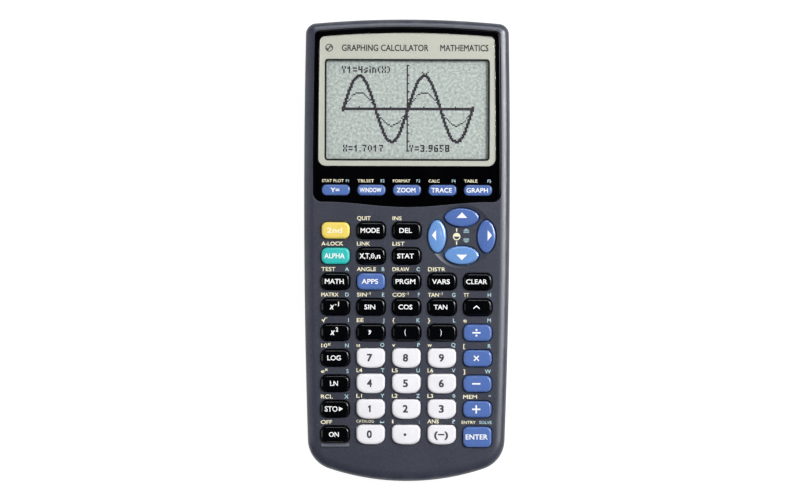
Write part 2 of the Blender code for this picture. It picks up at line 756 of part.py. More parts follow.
def build_display(model, keys):
    """From the top: clear window, black bezel and liquid-crystal panel."""
    bm = bmesh.new()
    lens_low = LENS_TOP_Z - LENS_THICKNESS
    face = add_prism(bm, lens_outline(0), lens_low, LENS_TOP_Z)[1]
    round_edges(bm, face, EDGE_BREAK, 1)
    model.part("display_window", model.mesh("display_window", bm, "lens_clear"))

    bm = bmesh.new()
    face = add_prism(bm, bezel_outline(GAP), BEZEL_SEAT_Z + GAP, BEZEL_Z)[1]
    round_edges(bm, face, EDGE_BREAK, 1)
    bezel = model.part("display_bezel", model.mesh("display_bezel", bm, "bezel_black"))

    def lens_seat(bm):
        add_prism(bm, lens_outline(-GAP), lens_low - GAP, BEZEL_Z + THROUGH)

    def view_opening(bm):
        add_prism(bm, view_outline(BEZEL_VIEW_MARGIN), BEZEL_SEAT_Z - OVERLAP, BEZEL_Z)

    def function_openings(bm):
        for key in keys:
            if key.is_function:
                opening = key.world_outline(GAP)
                add_prism(bm, opening, BEZEL_SEAT_Z - OVERLAP, BEZEL_Z + THROUGH)

    model.cut(bezel, "cut_lens_seat", lens_seat)
    model.cut(bezel, "cut_view_opening", view_opening)
    model.cut(bezel, "cut_function_openings", function_openings)

    bm = bmesh.new()
    x_range = (-PANEL_HALF_WIDTH, PANEL_HALF_WIDTH)
    y_range = (DISPLAY_Y - PANEL_HALF_HEIGHT, DISPLAY_Y + PANEL_HALF_HEIGHT)
    add_box(bm, x_range, y_range, (PANEL_BOTTOM_Z, DISPLAY_FLOOR_Z - GAP))
    panel = model.part("lcd_panel", model.mesh("lcd_panel", bm, "lcd_glass"))

    def glass(bm):
        reach, rise = VIEW_WIDTH / 2 + GLASS_MARGIN, VIEW_HEIGHT / 2 + GLASS_MARGIN
        z_range = (DISPLAY_FLOOR_Z - ROOT, BEZEL_SEAT_Z - GAP)
        add_box(bm, (-reach, reach), (DISPLAY_Y - rise, DISPLAY_Y + rise), z_range)

    model.join(panel, "add_glass", glass)


def build_keypad_mat(model, keys):
    """The rubber mat, with one dome under each key, at the height of a pressed dome."""
    bm = bmesh.new()
    add_box(
        bm,
        (-BOARD_HALF_WIDTH, BOARD_HALF_WIDTH),
        (BOARD_LOW_Y, BOARD_HIGH_Y),
        (MAT_BOTTOM_Z, MAT_TOP_Z),
    )
    mat = model.part("keypad_mat", model.mesh("keypad_mat", bm, "mat_rubber"))

    def domes(bm):
        for key in keys:
            radius = FUNCTION_DOME_RADIUS if key.is_function else DOME_RADIUS
            low, top = MAT_TOP_Z - OVERLAP, key.flange_bottom - key.travel - GAP
            far = radius * DOME_TAPER
            add_cylinder(bm, (key.x, key.y), radius, low, top, segments=8, far_radius=far)

    model.join(mat, "add_domes", domes)


def build_circuit_board(model):
    """The board with its chips and the link socket, which are soldered to it."""
    bm = bmesh.new()
    z_range = (BOARD_BOTTOM_Z, BOARD_TOP_Z)
    half = BOARD_HALF_WIDTH
    add_box(bm, (-half, half), (BOARD_LOW_Y, BOARD_HIGH_Y), z_range)
    board = model.part("circuit_board", model.mesh("circuit_board", bm, "board_green"))

    def tail_and_socket(bm):
        tail_x = (-TAIL_HALF_WIDTH, TAIL_HALF_WIDTH)
        tail_z = (BOARD_BOTTOM_Z + STEP, BOARD_TOP_Z - STEP)
        add_box(bm, tail_x, (TAIL_LOW_Y, BOARD_LOW_Y + 1), tail_z)
        block_x = (-SOCKET_BLOCK_HALF_WIDTH, SOCKET_BLOCK_HALF_WIDTH)
        add_box(bm, block_x, SOCKET_BLOCK_Y, (JACK_Z - PORT_RADIUS, BOARD_BOTTOM_Z + CHIP_SINK))
        end = -LENGTH / 2 + SOCKET_RECESS
        add_cylinder(bm, (0, JACK_Z), SOCKET_RADIUS, end, SOCKET_LOW_Y, axis="Y", segments=20)

    def chips(bm):
        z_range = (BOARD_BOTTOM_Z - CHIP_HEIGHT, BOARD_BOTTOM_Z + CHIP_SINK)
        for x, y, width, height in CHIPS:
            x_range = (x - width / 2, x + width / 2)
            add_box(bm, x_range, (y - height / 2, y + height / 2), z_range)

    def socket_bore(bm):
        low = -LENGTH / 2 - THROUGH
        place = (0, JACK_Z)
        add_cylinder(bm, place, SOCKET_BORE_RADIUS, low, SOCKET_BORE_END_Y, axis="Y", segments=14)

    model.join(board, "add_tail_and_socket", tail_and_socket)
    model.join(board, "add_chips", chips)
    model.cut(board, "cut_socket_bore", socket_bore)


def build_cell_pair(model, name, side):
    """Two AAA cells laid head to tail, with the contact strip that bridges their upper ends."""
    bm = bmesh.new()
    body = CELL_LENGTH - NUB_LENGTH
    first, second = side * CELL_PITCH / 2, side * CELL_PITCH * 3 / 2
    end = CELL_LOW_Y + CELL_LENGTH
    add_cylinder(bm, (first, CELL_Z), CELL_RADIUS, CELL_LOW_Y, CELL_LOW_Y + body, axis="Y", segments=24)
    pair = model.part(name, model.mesh(name, bm, "cell_jacket"))

    def second_cell_and_strip(bm):
        start = CELL_LOW_Y + NUB_LENGTH
        add_cylinder(bm, (second, CELL_Z), CELL_RADIUS, start, end, axis="Y", segments=24)
        x_range = sorted((first - side * STRIP_REACH, second + side * STRIP_REACH))
        z_range = (CELL_Z - STRIP_HALF_HEIGHT, CELL_Z + STRIP_HALF_HEIGHT)
        add_box(bm, x_range, (end + STRIP_Y[0], end + STRIP_Y[1]), z_range)

    def nubs(bm):
        low, high = CELL_LOW_Y, CELL_LOW_Y + NUB_LENGTH + OVERLAP
        add_cylinder(bm, (first, CELL_Z), NUB_RADIUS, CELL_LOW_Y + body - OVERLAP, end, "Y")
        add_cylinder(bm, (second, CELL_Z), NUB_RADIUS, low, high, "Y")

    model.join(pair, "add_second_cell", second_cell_and_strip)
    model.join(pair, "add_nubs", nubs)


def main():
    for old in list(bpy.data.objects):
        bpy.data.objects.remove(old)
    model = Model("graphing_calculator")
    keys = key_layout()
    build_keys(model, keys)
    build_front_case(model, keys)
    build_rear_case(model)
    build_battery_door(model)
    build_display(model, keys)
    build_keypad_mat(model, keys)
    build_circuit_board(model)
    build_cell_pair(model, "cell_pair_left", -1)
    build_cell_pair(model, "cell_pair_right", 1)


main()
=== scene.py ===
"""Graphing calculator: the fine surfaces, legends and materials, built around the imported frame.

Shapes are drawn in millimetres and scaled to metres when a piece is finished. The calculator lies
on its back: +Z points out of the display, +Y towards the display end and +X to the right.
"""

from math import atan2, copysign, cos, pi, radians, sin, sqrt, tau

import bmesh
import bpy
from mathutils import Matrix, Vector
from mathutils.bvhtree import BVHTree


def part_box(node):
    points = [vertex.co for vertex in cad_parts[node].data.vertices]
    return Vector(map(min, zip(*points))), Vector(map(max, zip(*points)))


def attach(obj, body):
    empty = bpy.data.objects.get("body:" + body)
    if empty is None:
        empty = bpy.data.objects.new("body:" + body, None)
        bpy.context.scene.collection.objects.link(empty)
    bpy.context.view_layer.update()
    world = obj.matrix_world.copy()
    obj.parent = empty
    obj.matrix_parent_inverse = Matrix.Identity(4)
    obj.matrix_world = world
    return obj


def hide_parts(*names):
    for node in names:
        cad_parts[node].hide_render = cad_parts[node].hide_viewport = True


MM = 0.001

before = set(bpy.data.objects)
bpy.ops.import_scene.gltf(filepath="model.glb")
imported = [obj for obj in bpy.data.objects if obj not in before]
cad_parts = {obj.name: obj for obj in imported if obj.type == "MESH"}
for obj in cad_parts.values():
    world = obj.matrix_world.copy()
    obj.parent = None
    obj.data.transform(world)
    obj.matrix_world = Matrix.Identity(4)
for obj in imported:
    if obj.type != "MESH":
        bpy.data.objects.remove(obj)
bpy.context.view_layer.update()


def box_mm(node):
    """Lowest and highest corner of a CAD node, in millimetres."""
    low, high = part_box(node)
    return low / MM, high / MM


# Driving sizes

case_low, case_high = box_mm("front_case")
lens_low, lens_high = box_mm("display_window")
panel_low, panel_high = box_mm("lcd_panel")

LENGTH = case_high.y - case_low.y
WIDTH = case_high.x - case_low.x
WIDEST_Y = 28.5
SIDE_ARC, TOP_ARC, BOTTOM_ARC = 3000.0, 405.0, 98.0
TOP_CORNER, BOTTOM_CORNER = 4.3, 12.3
STRAIGHT = 20000.0

BEZEL_Z = box_mm("display_bezel")[1].z
FACE_Z = BEZEL_Z + 0.4
SPLIT_Z = case_low.z
SEAM = 0.3
BACK_Z, DOOR_Z = 0.6, box_mm("battery_door")[0].z
FRONT_WALL, FRONT_ROUND, RIM_ROUND = 1.8, 3.1, 4.2
REAR_WALL, REAR_FLOOR, REAR_ROUND = 3.0, 1.8, 3.6
REAR_FLOOR_Z = BACK_Z + REAR_FLOOR
DISPLAY_FLOOR_Z, BEZEL_SEAT_Z, KEYPAD_CEILING_Z = 17.2, 18.7, 18.8

RIM_WIDTH, TOP_RIM_WIDTH = 3.5, 3.05
BEZEL_BOTTOM_Y, BEZEL_DIP, BEZEL_DIP_HALF_WIDTH = 19.25, 2.05, 33.0
BEZEL_TOP_CORNER, BEZEL_BOTTOM_CORNER = 2.2, 3.6
LENS_INSET, LENS_TOP_INSET, LENS_BOTTOM_Y = 5.7, 5.45, lens_low.y
LENS_TOP_CORNER, LENS_BOTTOM_CORNER = 2.2, 3.0
DISPLAY_Y = (panel_low.y + panel_high.y) / 2
WINDOW_WIDTH, WINDOW_HEIGHT, WINDOW_CORNER = 65.4, 40.0, 1.0
WINDOW_DROP, WINDOW_LINE = 0.2, 0.75
PRINT_Z = lens_low.z + 0.16

DOT_PITCH, DOT_SIZE = 0.553, 0.549
DOT_COLUMNS, DOT_ROWS = 96, 64
DOTS_LEFT, DOTS_TOP_Y = -26.25, DISPLAY_Y + DOT_ROWS * DOT_PITCH / 2 + 0.2

KEY_FLANGE = 0.7
KEY_GAP, ARROW_GAP = 0.33, 0.48
ENTER_DROP = 0.85
ARROW_DISH_FLAT, ARROW_DISH_RADIUS, ARROW_DISH_DEPTH = 10.2, 12.9, 0.45
ARROW_LEAN = 0.07
INK = 0.03
FUNCTION_LEGEND_Y, NUMBER_LEGEND_RISE, LEGEND_RISE = 27.75, 5.25, 4.9
SHEET_SIZE, SHEET_Y = (66.8, 104.8), -25.8
BOARD_Z, MAT_Z = (11.0, 12.6), (12.9, 13.9)
DOOR_WIDTH, DOOR_LENGTH, DOOR_Y, DOOR_GAP = 48.6, 53.2, 57.9, 0.3
PORT_Z = 7.4
CELL_RADIUS, CELL_LENGTH, CELL_LOW_Y, CELL_Z = 5.2, 44.5, 34.6, 8.0
INNER_CELL_X, OUTER_CELL_X = 5.6, 16.8
SCREWS = ((33.0, 85.4), (35.9, 18.6), (17.5, -83.5))
FEET = ((31.5, 68.0), (31.5, -66.0))

FUNCTION_KEYS = ("y_equals", "window", "zoom", "trace", "graph")
OUTWARD = {"up": (0, 1), "down": (0, -1), "left": (-1, 0), "right": (1, 0)}
BLUE_KEYS = ("apps", "divide", "multiply", "minus", "plus", "enter", *FUNCTION_KEYS, *OUTWARD)
NUMBER_KEYS = tuple("0123456789") + ("point", "negate")
KEY_NAMES = [node[4:] for node in sorted(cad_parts) if node.startswith("key_")]


# Outlines


def arc(centre, radius, start, end, steps):
    """Points along an arc, both ends included."""
    turns = (start + (end - start) * i / steps for i in range(steps + 1))
    return [centre + radius * Vector((cos(a), sin(a))) for a in turns]


def heading(vector):
    return atan2(vector.y, vector.x)


def circles_meet(first, first_radius, second, second_radius, near):
    """Of the two points where two circles meet, the one nearer to a given point."""
    apart = second - first
    distance = apart.length
    along = (first_radius**2 - second_radius**2 + distance**2) / (2 * distance)
    across = sqrt(first_radius**2 - along**2)
    middle = first + apart * (along / distance)
    normal = Vector((-apart.y, apart.x)) / distance
    return min(middle + normal * across, middle - normal * across, key=lambda p: (p - near).length)


def case_outline(
    inset=0.0, top_inset=None, top_corner=None, bottom_corner=None, top_y=None, bottom_y=None
):
    """The case's four shallow arcs and their corners, moved inwards by inset.

    A given top_y or bottom_y ends it there instead, with an edge that is as good as straight.
    """
    side, side_radius = Vector((WIDTH / 2 - SIDE_ARC, WIDEST_Y)), SIDE_ARC - inset
    top, top_radius = Vector((0, LENGTH / 2 - TOP_ARC)), TOP_ARC - (top_inset or inset)
    bottom, bottom_radius = Vector((0, BOTTOM_ARC - LENGTH / 2)), BOTTOM_ARC - inset
    if top_y is not None:
        top, top_radius = Vector((0, top_y - STRAIGHT)), STRAIGHT
    if bottom_y is not None:
        bottom, bottom_radius = Vector((0, bottom_y + STRAIGHT)), STRAIGHT
    top_round = top_corner or TOP_CORNER - inset
    bottom_round = bottom_corner or BOTTOM_CORNER - inset

    def corner(end, end_radius, rounding, y):
        near = Vector((WIDTH / 2, y))
        return circles_meet(side, side_radius - rounding, end, end_radius - rounding, near)

    low = corner(bottom, bottom_radius, bottom_round, -LENGTH / 2)
    high = corner(top, top_radius, top_round, LENGTH / 2)
    bottom_turn, low_turn = heading(low - bottom), heading(low - side)
    high_turn, top_turn = heading(high - side), heading(high - top)

    right = arc(bottom, bottom_radius, -pi / 2, bottom_turn, 22)[:-1]
    right += arc(low, bottom_round, bottom_turn, low_turn, 14)
    right += arc(side, side_radius, low_turn, high_turn, 14)[1:-1]
    right += arc(high, top_round, high_turn, top_turn, 10)
    right += arc(top, top_radius, top_turn, pi / 2, 12)[1:]
    return right + [Vector((-p.x, p.y)) for p in reversed(right[1:-1])]


def bezel_outline(inset):
    """The black bezel: the case's arcs above, and a bottom edge that dips in the middle."""
    outline = case_outline(
        RIM_WIDTH + inset,
        top_inset=TOP_RIM_WIDTH + inset,
        top_corner=BEZEL_TOP_CORNER - inset,
        bottom_corner=BEZEL_BOTTOM_CORNER - inset,
        bottom_y=BEZEL_BOTTOM_Y + inset,
    )
    for point in outline:
        reach = abs(point.x) / BEZEL_DIP_HALF_WIDTH
        if point.y < BEZEL_BOTTOM_Y + inset + 0.1 and reach < 1:
            point.y -= BEZEL_DIP * (1 + cos(pi * reach)) / 2
    return outline


def lens_outline(inset):
    return case_outline(
        LENS_INSET + inset,
        top_inset=LENS_TOP_INSET + inset,
        top_corner=LENS_TOP_CORNER - inset,
        bottom_corner=LENS_BOTTOM_CORNER - inset,
        bottom_y=LENS_BOTTOM_Y + inset,
    )


def rounded_rectangle(width, height, radius, steps=8):
    """A rectangle round the origin with arcs for corners."""
    points = []
    for i, (sx, sy) in enumerate(((1, 1), (-1, 1), (-1, -1), (1, -1))):
        centre = Vector((sx * (width / 2 - radius), sy * (height / 2 - radius)))
        points += arc(centre, radius, i * pi / 2, (i + 1) * pi / 2, steps)
    return points


def inset_rectangle(width, height, radius, y=0.0, steps=8):
    """A function that gives a rounded rectangle, on the middle line, moved inwards by an inset."""

    def outline(inset=0.0):
        size = (width - 2 * inset, height - 2 * inset)
        return moved(rounded_rectangle(*size, radius - inset, steps), 0, y)

    return outline


def moved(points, x, y, turn=0.0):
    turned_by = Matrix.Rotation(turn, 2)
    return [turned_by @ Vector(p) + Vector((x, y)) for p in points]


def window_outline(inset):
    size = (WINDOW_WIDTH - 2 * inset, WINDOW_HEIGHT - 2 * inset)
    flat = rounded_rectangle(*size, max(0.3, WINDOW_CORNER - inset), 5)
    return moved(flat, 0, DISPLAY_Y - WINDOW_DROP)


def display_opening(margin):
    """The opening for the display in the case and the bezel, wider than the window by a margin."""
    return moved(rounded_rectangle(WINDOW_WIDTH + margin, WINDOW_HEIGHT + margin, 1.0), 0, DISPLAY_Y)


def circle(radius, steps=48):
    return arc(Vector((0, 0)), radius, 0, tau, steps)[:-1]


def around(middle, half):
    """A range of numbers with a given middle."""
    return middle - half, middle + half


def both_sides(points):
    return [(side * x, y) for x, y in points for side in (-1, 1)]


# Mesh tools


def at(points, z):
    """A ring of 2D points at a height."""
    return [Vector((p.x, p.y, z)) for p in points]


def loft(bm, rings, peak=None):
    """Skins rings of equal length into one closed body. A peak closes the top with a fan."""
    loops = [[bm.verts.new(p) for p in ring] for ring in rings]
    for lower, upper in zip(loops, loops[1:]):
        for i in range(len(lower)):
            bm.faces.new((lower[i - 1], lower[i], upper[i], upper[i - 1]))
    bm.faces.new(reversed(loops[0]))
    if peak is None:
        bm.faces.new(loops[-1])
    else:
        tip = bm.verts.new(peak)
        for i in range(len(loops[-1])):
            bm.faces.new((loops[-1][i - 1], loops[-1][i], tip))


def prism(bm, outline, low, high):
    loft(bm, [at(outline, low), at(outline, high)])


def stack(bm, shape, sides):
    """A body whose wall passes through shape(inset) at z, for each (inset, z) of its sides."""
    loft(bm, [at(shape(inset), z) for inset, z in sides])


def quarter(steps):
    """Angles from 0 to a right angle."""
    return [pi / 2 * i / steps for i in range(steps + 1)]


def soft_prism(bm, shape, low, high, top_round=0.0, bottom_round=0.0, steps=5, top_drop=None):
    """A prism of shape(inset) with rounded edges: the top's is a quarter ellipse with a top_drop."""
    top_drop = top_drop or top_round
    lower, upper = [(0.0, low)], [(0.0, high)]
    if bottom_round:
        lower = [(bottom_round * (1 - sin(a)), low + bottom_round * (1 - cos(a))) for a in quarter(steps)]
    if top_round:
        upper = [(top_round * (1 - cos(a)), high - top_drop * (1 - sin(a))) for a in quarter(steps)]
    stack(bm, shape, lower + upper)


def flared_cutter(bm, shape, low, face, flare):
    """A cutter of shape(grow) whose mouth flares out, so that the cut's upper edge is rounded."""
    mouth = [(flare * (1 - cos(a)), face - flare * (1 - sin(a))) for a in quarter(4)]
    stack(bm, shape, [(0.0, low)] + mouth + [(flare, face + 2)])


def block(bm, x_range, y_range, z_range, rounding=0.0):
    low, high = (Vector(corner) for corner in zip(x_range, y_range, z_range))
    place = Matrix.Translation((low + high) / 2) @ Matrix.Diagonal((*(high - low), 1))
    made = bmesh.ops.create_cube(bm, size=1, matrix=place)
    if rounding:
        edges = list({e for v in made["verts"] for e in v.link_edges})
        bmesh.ops.bevel(bm, geom=edges, offset=rounding, segments=3, profile=0.5, affect="EDGES")


def blocks(bm, *ranges):
    """Several blocks, each from its ranges of x, y and z."""
    for x_range, y_range, z_range in ranges:
        block(bm, x_range, y_range, z_range)


def turned(bm, profile, steps, place):
    """A body turned about Z from (radius, height) pairs, with closed ends, and then placed."""
    loft(bm, [[place @ p for p in at(circle(radius, steps), z)] for radius, z in profile])


def standing(x, y):
    return Matrix.Translation((x, y, 0))


def lying(x, z):
    """Turns a body that was drawn along Z so that it lies along Y, at x and z."""
    return Matrix.Translation((x, 0, z)) @ Matrix.Rotation(-pi / 2, 4, "X")


def studs(bm, spots, profile, steps=32):
    """The same turned body at each spot and at its mirror image on the other side."""
    for spot in both_sides(spots):
        turned(bm, profile, steps, standing(*spot))


def post(radius, low, high):
    return (radius, low), (radius, high)


def drawn(draw, *arguments):
    """A new bmesh with what a function draws into it."""
    bm = bmesh.new()
    draw(bm, *arguments)
    return bm


def mesh_from(bm, name):
    """A mesh in metres from a bmesh in millimetres, with its normals turned outwards."""
    bmesh.ops.recalc_face_normals(bm, faces=bm.faces[:])
    bm.transform(Matrix.Diagonal((MM, MM, MM, 1)))
    data = bpy.data.meshes.new(name)
    bm.to_mesh(data)
    bm.free()
    return data


def add_object(name, data):
    made = bpy.data.objects.new(name, data)
    bpy.context.scene.collection.objects.link(made)
    return made


def piece(name, bm, look, slot, *replaces, body="case", sharp=32, steps=()):
    """Finishes a bmesh as a smooth-shaded piece that rides on a body, after its cuts and joins."""
    made = add_object(name, mesh_from(bm, name))
    if steps:
        carve(made, steps)
    made.data.shade_smooth()
    made.data.set_sharp_from_angle(angle=radians(sharp))
    made.modifiers.new("weighted_normals", "WEIGHTED_NORMAL").keep_sharp = True
    made.data.materials.clear()
    made.data.materials.append(materials[look])
    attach(made, body)
    for node in replaces:
        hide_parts(node)
    return made


def carve(made, steps):
    """Cuts shapes out of an object and joins others to it."""
    helpers = []
    for operation, shape in steps:
        helper = add_object("helper", mesh_from(shape, "helper"))
        helpers.append(helper)
        modifier = made.modifiers.new("step", "BOOLEAN")
        modifier.operation, modifier.solver, modifier.object = operation, "MANIFOLD", helper
    evaluated = made.evaluated_get(bpy.context.evaluated_depsgraph_get())
    result = bpy.data.meshes.new_from_object(evaluated)
    made.modifiers.clear()
    made.data = result
    for helper in helpers:
        bpy.data.objects.remove(helper)


def cut(draw, *arguments):
    return "DIFFERENCE", drawn(draw, *arguments)


def join(draw, *arguments):
    return "UNION", drawn(draw, *arguments)


def table(text):
    """The words of each line."""
    return [line.split() for line in text.strip().splitlines()]


# Materials


def scaled(colour, factor):
    return tuple(min(1.0, c * factor) for c in colour)


class Nodes:
    """A short way to write the node tree of a material or a world."""

    def __init__(self, owner, shader="Principled BSDF"):
        self.owner = owner
        owner.use_nodes = True
        self.tree = owner.node_tree
        self.shader = self.tree.nodes[shader]
        self.coordinates = self.new("TexCoord").outputs

    def put(self, target, value):
        if isinstance(value, bpy.types.NodeSocket):
            self.tree.links.new(value, target)
        elif isinstance(value, tuple) and len(value) == 3 and target.type == "RGBA":
            target.default_value = (*value, 1)
        else:
            target.default_value = value

    def fill(self, node, **inputs):
        """Sets or links a node's inputs by name, with underscores for spaces."""
        for name, value in inputs.items():
            self.put(node.inputs[name.replace("_", " ").title().replace("Ior", "IOR")], value)

    def set(self, **inputs):
        self.fill(self.shader, **inputs)

    def new(self, kind, **inputs):
        node = self.tree.nodes.new(f"ShaderNode{kind}")
        self.fill(node, **inputs)
        return node

    def wired(self, node, *values):
        """The output of a node whose inputs are filled in order."""
        for target, value in zip(node.inputs, values):
            self.put(target, value)
        return node.outputs[0]

    def noise(self, size_mm, detail=3.0, stretch=(1, 1, 1), roughness=0.55):
        """Noise from 0 to 1 whose features are about size_mm across."""
        place = self.new("Mapping", vector=self.coordinates["Object"], scale=stretch).outputs[0]
        node = self.new("TexNoise", vector=place, scale=1 / (size_mm * MM))
        self.fill(node, detail=detail, roughness=roughness)
        return node.outputs["Fac"]

    def math(self, operation, *values):
        node = self.new("Math")
        node.operation = operation
        return self.wired(node, *values)

    def ramp(self, value, low, high, out_low=0.0, out_high=1.0):
        """Maps a range of values to another, clamped at both ends."""
        node = self.new("MapRange", value=value, from_min=low, from_max=high)
        self.fill(node, to_min=out_low, to_max=out_high)
        return node.outputs["Result"]

    def waver(self, noise, low=0.0, high=1.0):
        """Noise spread over a range of values."""
        return self.ramp(noise, 0.3, 0.7, low, high)

    def mix(self, factor, first, second, mode="MIX", kind="RGBA"):
        node = self.new("Mix")
        node.data_type, node.blend_type = kind, mode
        self.fill(node, factor=factor, a=first, b=second)
        return node.outputs["Result"]

    def speckle(self, noise, colour, spread):
        """A colour that noise darkens and lightens by a share."""
        return self.mix(self.waver(noise), scaled(colour, 1 - spread), scaled(colour, 1 + spread))

    def toned(self, colour, noise, low, high=(1, 1, 1)):
        """A colour under a slow change in tone."""
        return self.mix(1.0, colour, self.mix(self.waver(noise), low, high), "MULTIPLY")

    def bump(self, height, distance_mm):
        node = self.new("Bump", height=height, distance=distance_mm * MM, strength=1.0)
        self.set(normal=node.outputs["Normal"])

    def axis(self, vector, name):
        return self.new("SeparateXYZ", vector=vector).outputs[name]

    def geometry_z(self, name):
        return self.axis(self.new("NewGeometry").outputs[name], "Z")

    def show_mixed(self, share, first, second):
        """Makes a mixture of two shaders the surface."""
        surface = self.wired(self.new("MixShader"), share, first, second)
        self.put(self.tree.nodes["Material Output"].inputs["Surface"], surface)


def material_nodes(name):
    return Nodes(bpy.data.materials.new(name))


def moulded(name, colour, roughness, grain_mm, relief_mm, spread):
    """Moulded plastic: a fine grain in colour and relief, and a slow change in tone and polish."""
    n = material_nodes(name)
    grain = n.noise(grain_mm, 2.0)
    body = n.speckle(grain, colour, spread)
    n.set(base_color=n.toned(body, n.noise(18, 2.0), (0.94, 0.94, 0.94)))
    n.set(roughness=n.waver(n.noise(6, 4.0), roughness - 0.05, roughness + 0.06))
    n.bump(grain, relief_mm)
    return n.owner


def case_plastic():
    """Dark blue-grey case plastic: sparkling fine grain, worn smoother on its edges, and paler there with
    rubbed wear that is partly a painted highlight.
    """
    colour = (0.034, 0.0395, 0.062)
    n = material_nodes("case_plastic")
    grain = n.noise(0.45, 2.0)
    speck = n.noise(0.9, 4.0)
    body = n.mix(n.ramp(grain, 0.28, 0.72), scaled(colour, 0.66), scaled(colour, 1.34))
    body = n.mix(n.ramp(speck, 0.6, 0.75, 0, 0.35), body, (0.085, 0.082, 0.115))
    body = n.toned(body, n.noise(40, 2.0), (0.93, 0.93, 0.93), (1.05, 1.05, 1.05))
    slope = n.math("ABSOLUTE", n.geometry_z("Normal"))
    edge = n.math("MULTIPLY", n.ramp(slope, 0.98, 0.8), n.ramp(slope, 0.35, 0.6))
    # Paler in patches on the rounded edges: rubbed wear, and partly a painted highlight on the rims.
    wear_and_highlight = n.math("MULTIPLY", edge, n.ramp(n.noise(6, 6.0, stretch=(1, 0.35, 1)), 0.45, 0.75))
    n.set(base_color=n.mix(n.math("MULTIPLY", wear_and_highlight, 0.35), body, (0.13, 0.14, 0.16)))
    rough = n.waver(n.noise(9, 4.0), 0.37, 0.43)
    n.set(roughness=n.math("SUBTRACT", rough, n.math("MULTIPLY", edge, 0.1)))
    n.bump(grain, 0.014)
    return n.owner


def gloss_black():
    """Polished black plastic with the faintest smears."""
    n = material_nodes("bezel_gloss")
    smear = n.noise(14, 5.0, stretch=(1, 0.4, 1))
    n.set(base_color=n.mix(n.ramp(smear, 0.4, 0.8), (0.0003, 0.0003, 0.0008), (0.0009, 0.0008, 0.0016)))
    n.set(roughness=n.ramp(smear, 0.3, 0.8, 0.12, 0.24), specular_ior_level=0.2)
    n.bump(n.noise(1.2, 2.0), 0.002)
    return n.owner


def key_plastic(name, colour, roughness, spread=0.06, shine=0.5):
    """Key plastic: satin, its top polished by fingers, with a fine grain."""
    n = material_nodes(name)
    grain = n.noise(0.5, 2.0)
    body = n.speckle(grain, colour, spread)
    n.set(base_color=n.toned(body, n.noise(7, 2.0), (0.95, 0.95, 0.95)))
    polish = n.ramp(n.geometry_z("Normal"), 0.9, 1.0, 0.0, -0.05)
    rough = n.waver(n.noise(3, 4.0), roughness - 0.04, roughness + 0.06)
    n.set(roughness=n.math("ADD", rough, polish), specular_ior_level=shine)
    n.bump(grain, 0.006)
    return n.owner


def clear_lens():
    """Clear plastic that lets light straight through and mirrors a little, more at a slant."""
    n = material_nodes("lens_clear")
    n.set(base_color=(0.9, 0.92, 0.9), roughness=n.ramp(n.noise(22, 4.0), 0.4, 0.8, 0.05, 0.16))
    through = n.new("BsdfTransparent", color=(0.97, 0.975, 0.97))
    facing = n.new("LayerWeight", blend=0.18)
    gloss = n.new("BsdfGlossy", roughness=n.ramp(n.noise(22, 4.0), 0.4, 0.8, 0.04, 0.12))
    share = n.ramp(facing.outputs["Fresnel"], 0.0, 1.0, 0.015, 0.8)
    n.show_mixed(share, through.outputs[0], gloss.outputs[0])
    return n.owner


def lcd_film():
    """The grey-green film of the display, mottled, with the faint grid of its dots."""
    n = material_nodes("lcd_film")
    colour = (0.575, 0.625, 0.605)
    mottle = n.noise(1.1, 3.0, stretch=(1, 1, 0), roughness=0.75)
    body = n.mix(n.ramp(mottle, 0.32, 0.68), scaled(colour, 0.62), scaled(colour, 1.36))
    body = n.toned(body, n.noise(16, 2.0, stretch=(1, 1, 0)), (0.96, 0.97, 0.98))
    lines = []
    for axis in "XY":
        across = n.math("DIVIDE", n.axis(n.coordinates["Object"], axis), DOT_PITCH * MM)
        lines.append(n.math("LESS_THAN", n.math("FRACT", across), 0.14))
    grid = n.math("MULTIPLY", n.math("MAXIMUM", *lines), 0.10)
    n.set(base_color=n.mix(grid, body, (0.62, 0.66, 0.62)), roughness=0.42)
    n.bump(mottle, 0.003)
    return n.owner


def ink(name, colour, roughness=0.45, spread=0.10):
    """Printed ink, slightly uneven."""
    n = material_nodes(name)
    patch = n.noise(0.6, 3.0)
    n.set(base_color=n.speckle(patch, colour, spread), roughness=roughness)
    n.bump(patch, 0.003)
    return n.owner


def metal(name, colour, roughness, stretch=(1, 1, 1)):
    """Bare metal with a drawn grain and a little tarnish."""
    n = material_nodes(name)
    lines = n.noise(0.5, 4.0, stretch=stretch)
    tarnish = n.ramp(n.noise(5, 4.0), 0.45, 0.8)
    n.set(base_color=n.mix(tarnish, colour, scaled(colour, 0.7)), metallic=1.0)
    n.set(roughness=n.waver(lines, roughness - 0.08, roughness + 0.1))
    n.bump(lines, 0.004)
    return n.owner


def board_mask():
    """Green solder mask with darker copper tracks showing through it."""
    n = material_nodes("board_mask")
    across = n.axis(n.coordinates["Object"], "X")
    wave = n.math("SINE", n.math("MULTIPLY", across, tau / (1.6 * MM)))
    track = n.math("MULTIPLY", n.ramp(wave, 0.2, 0.4), n.ramp(n.noise(7, 1.0), 0.49, 0.52))
    n.set(base_color=n.mix(track, (0.015, 0.13, 0.045), (0.03, 0.22, 0.08)))
    n.set(roughness=n.ramp(track, 0, 1, 0.42, 0.3))
    n.bump(track, 0.03)
    return n.owner


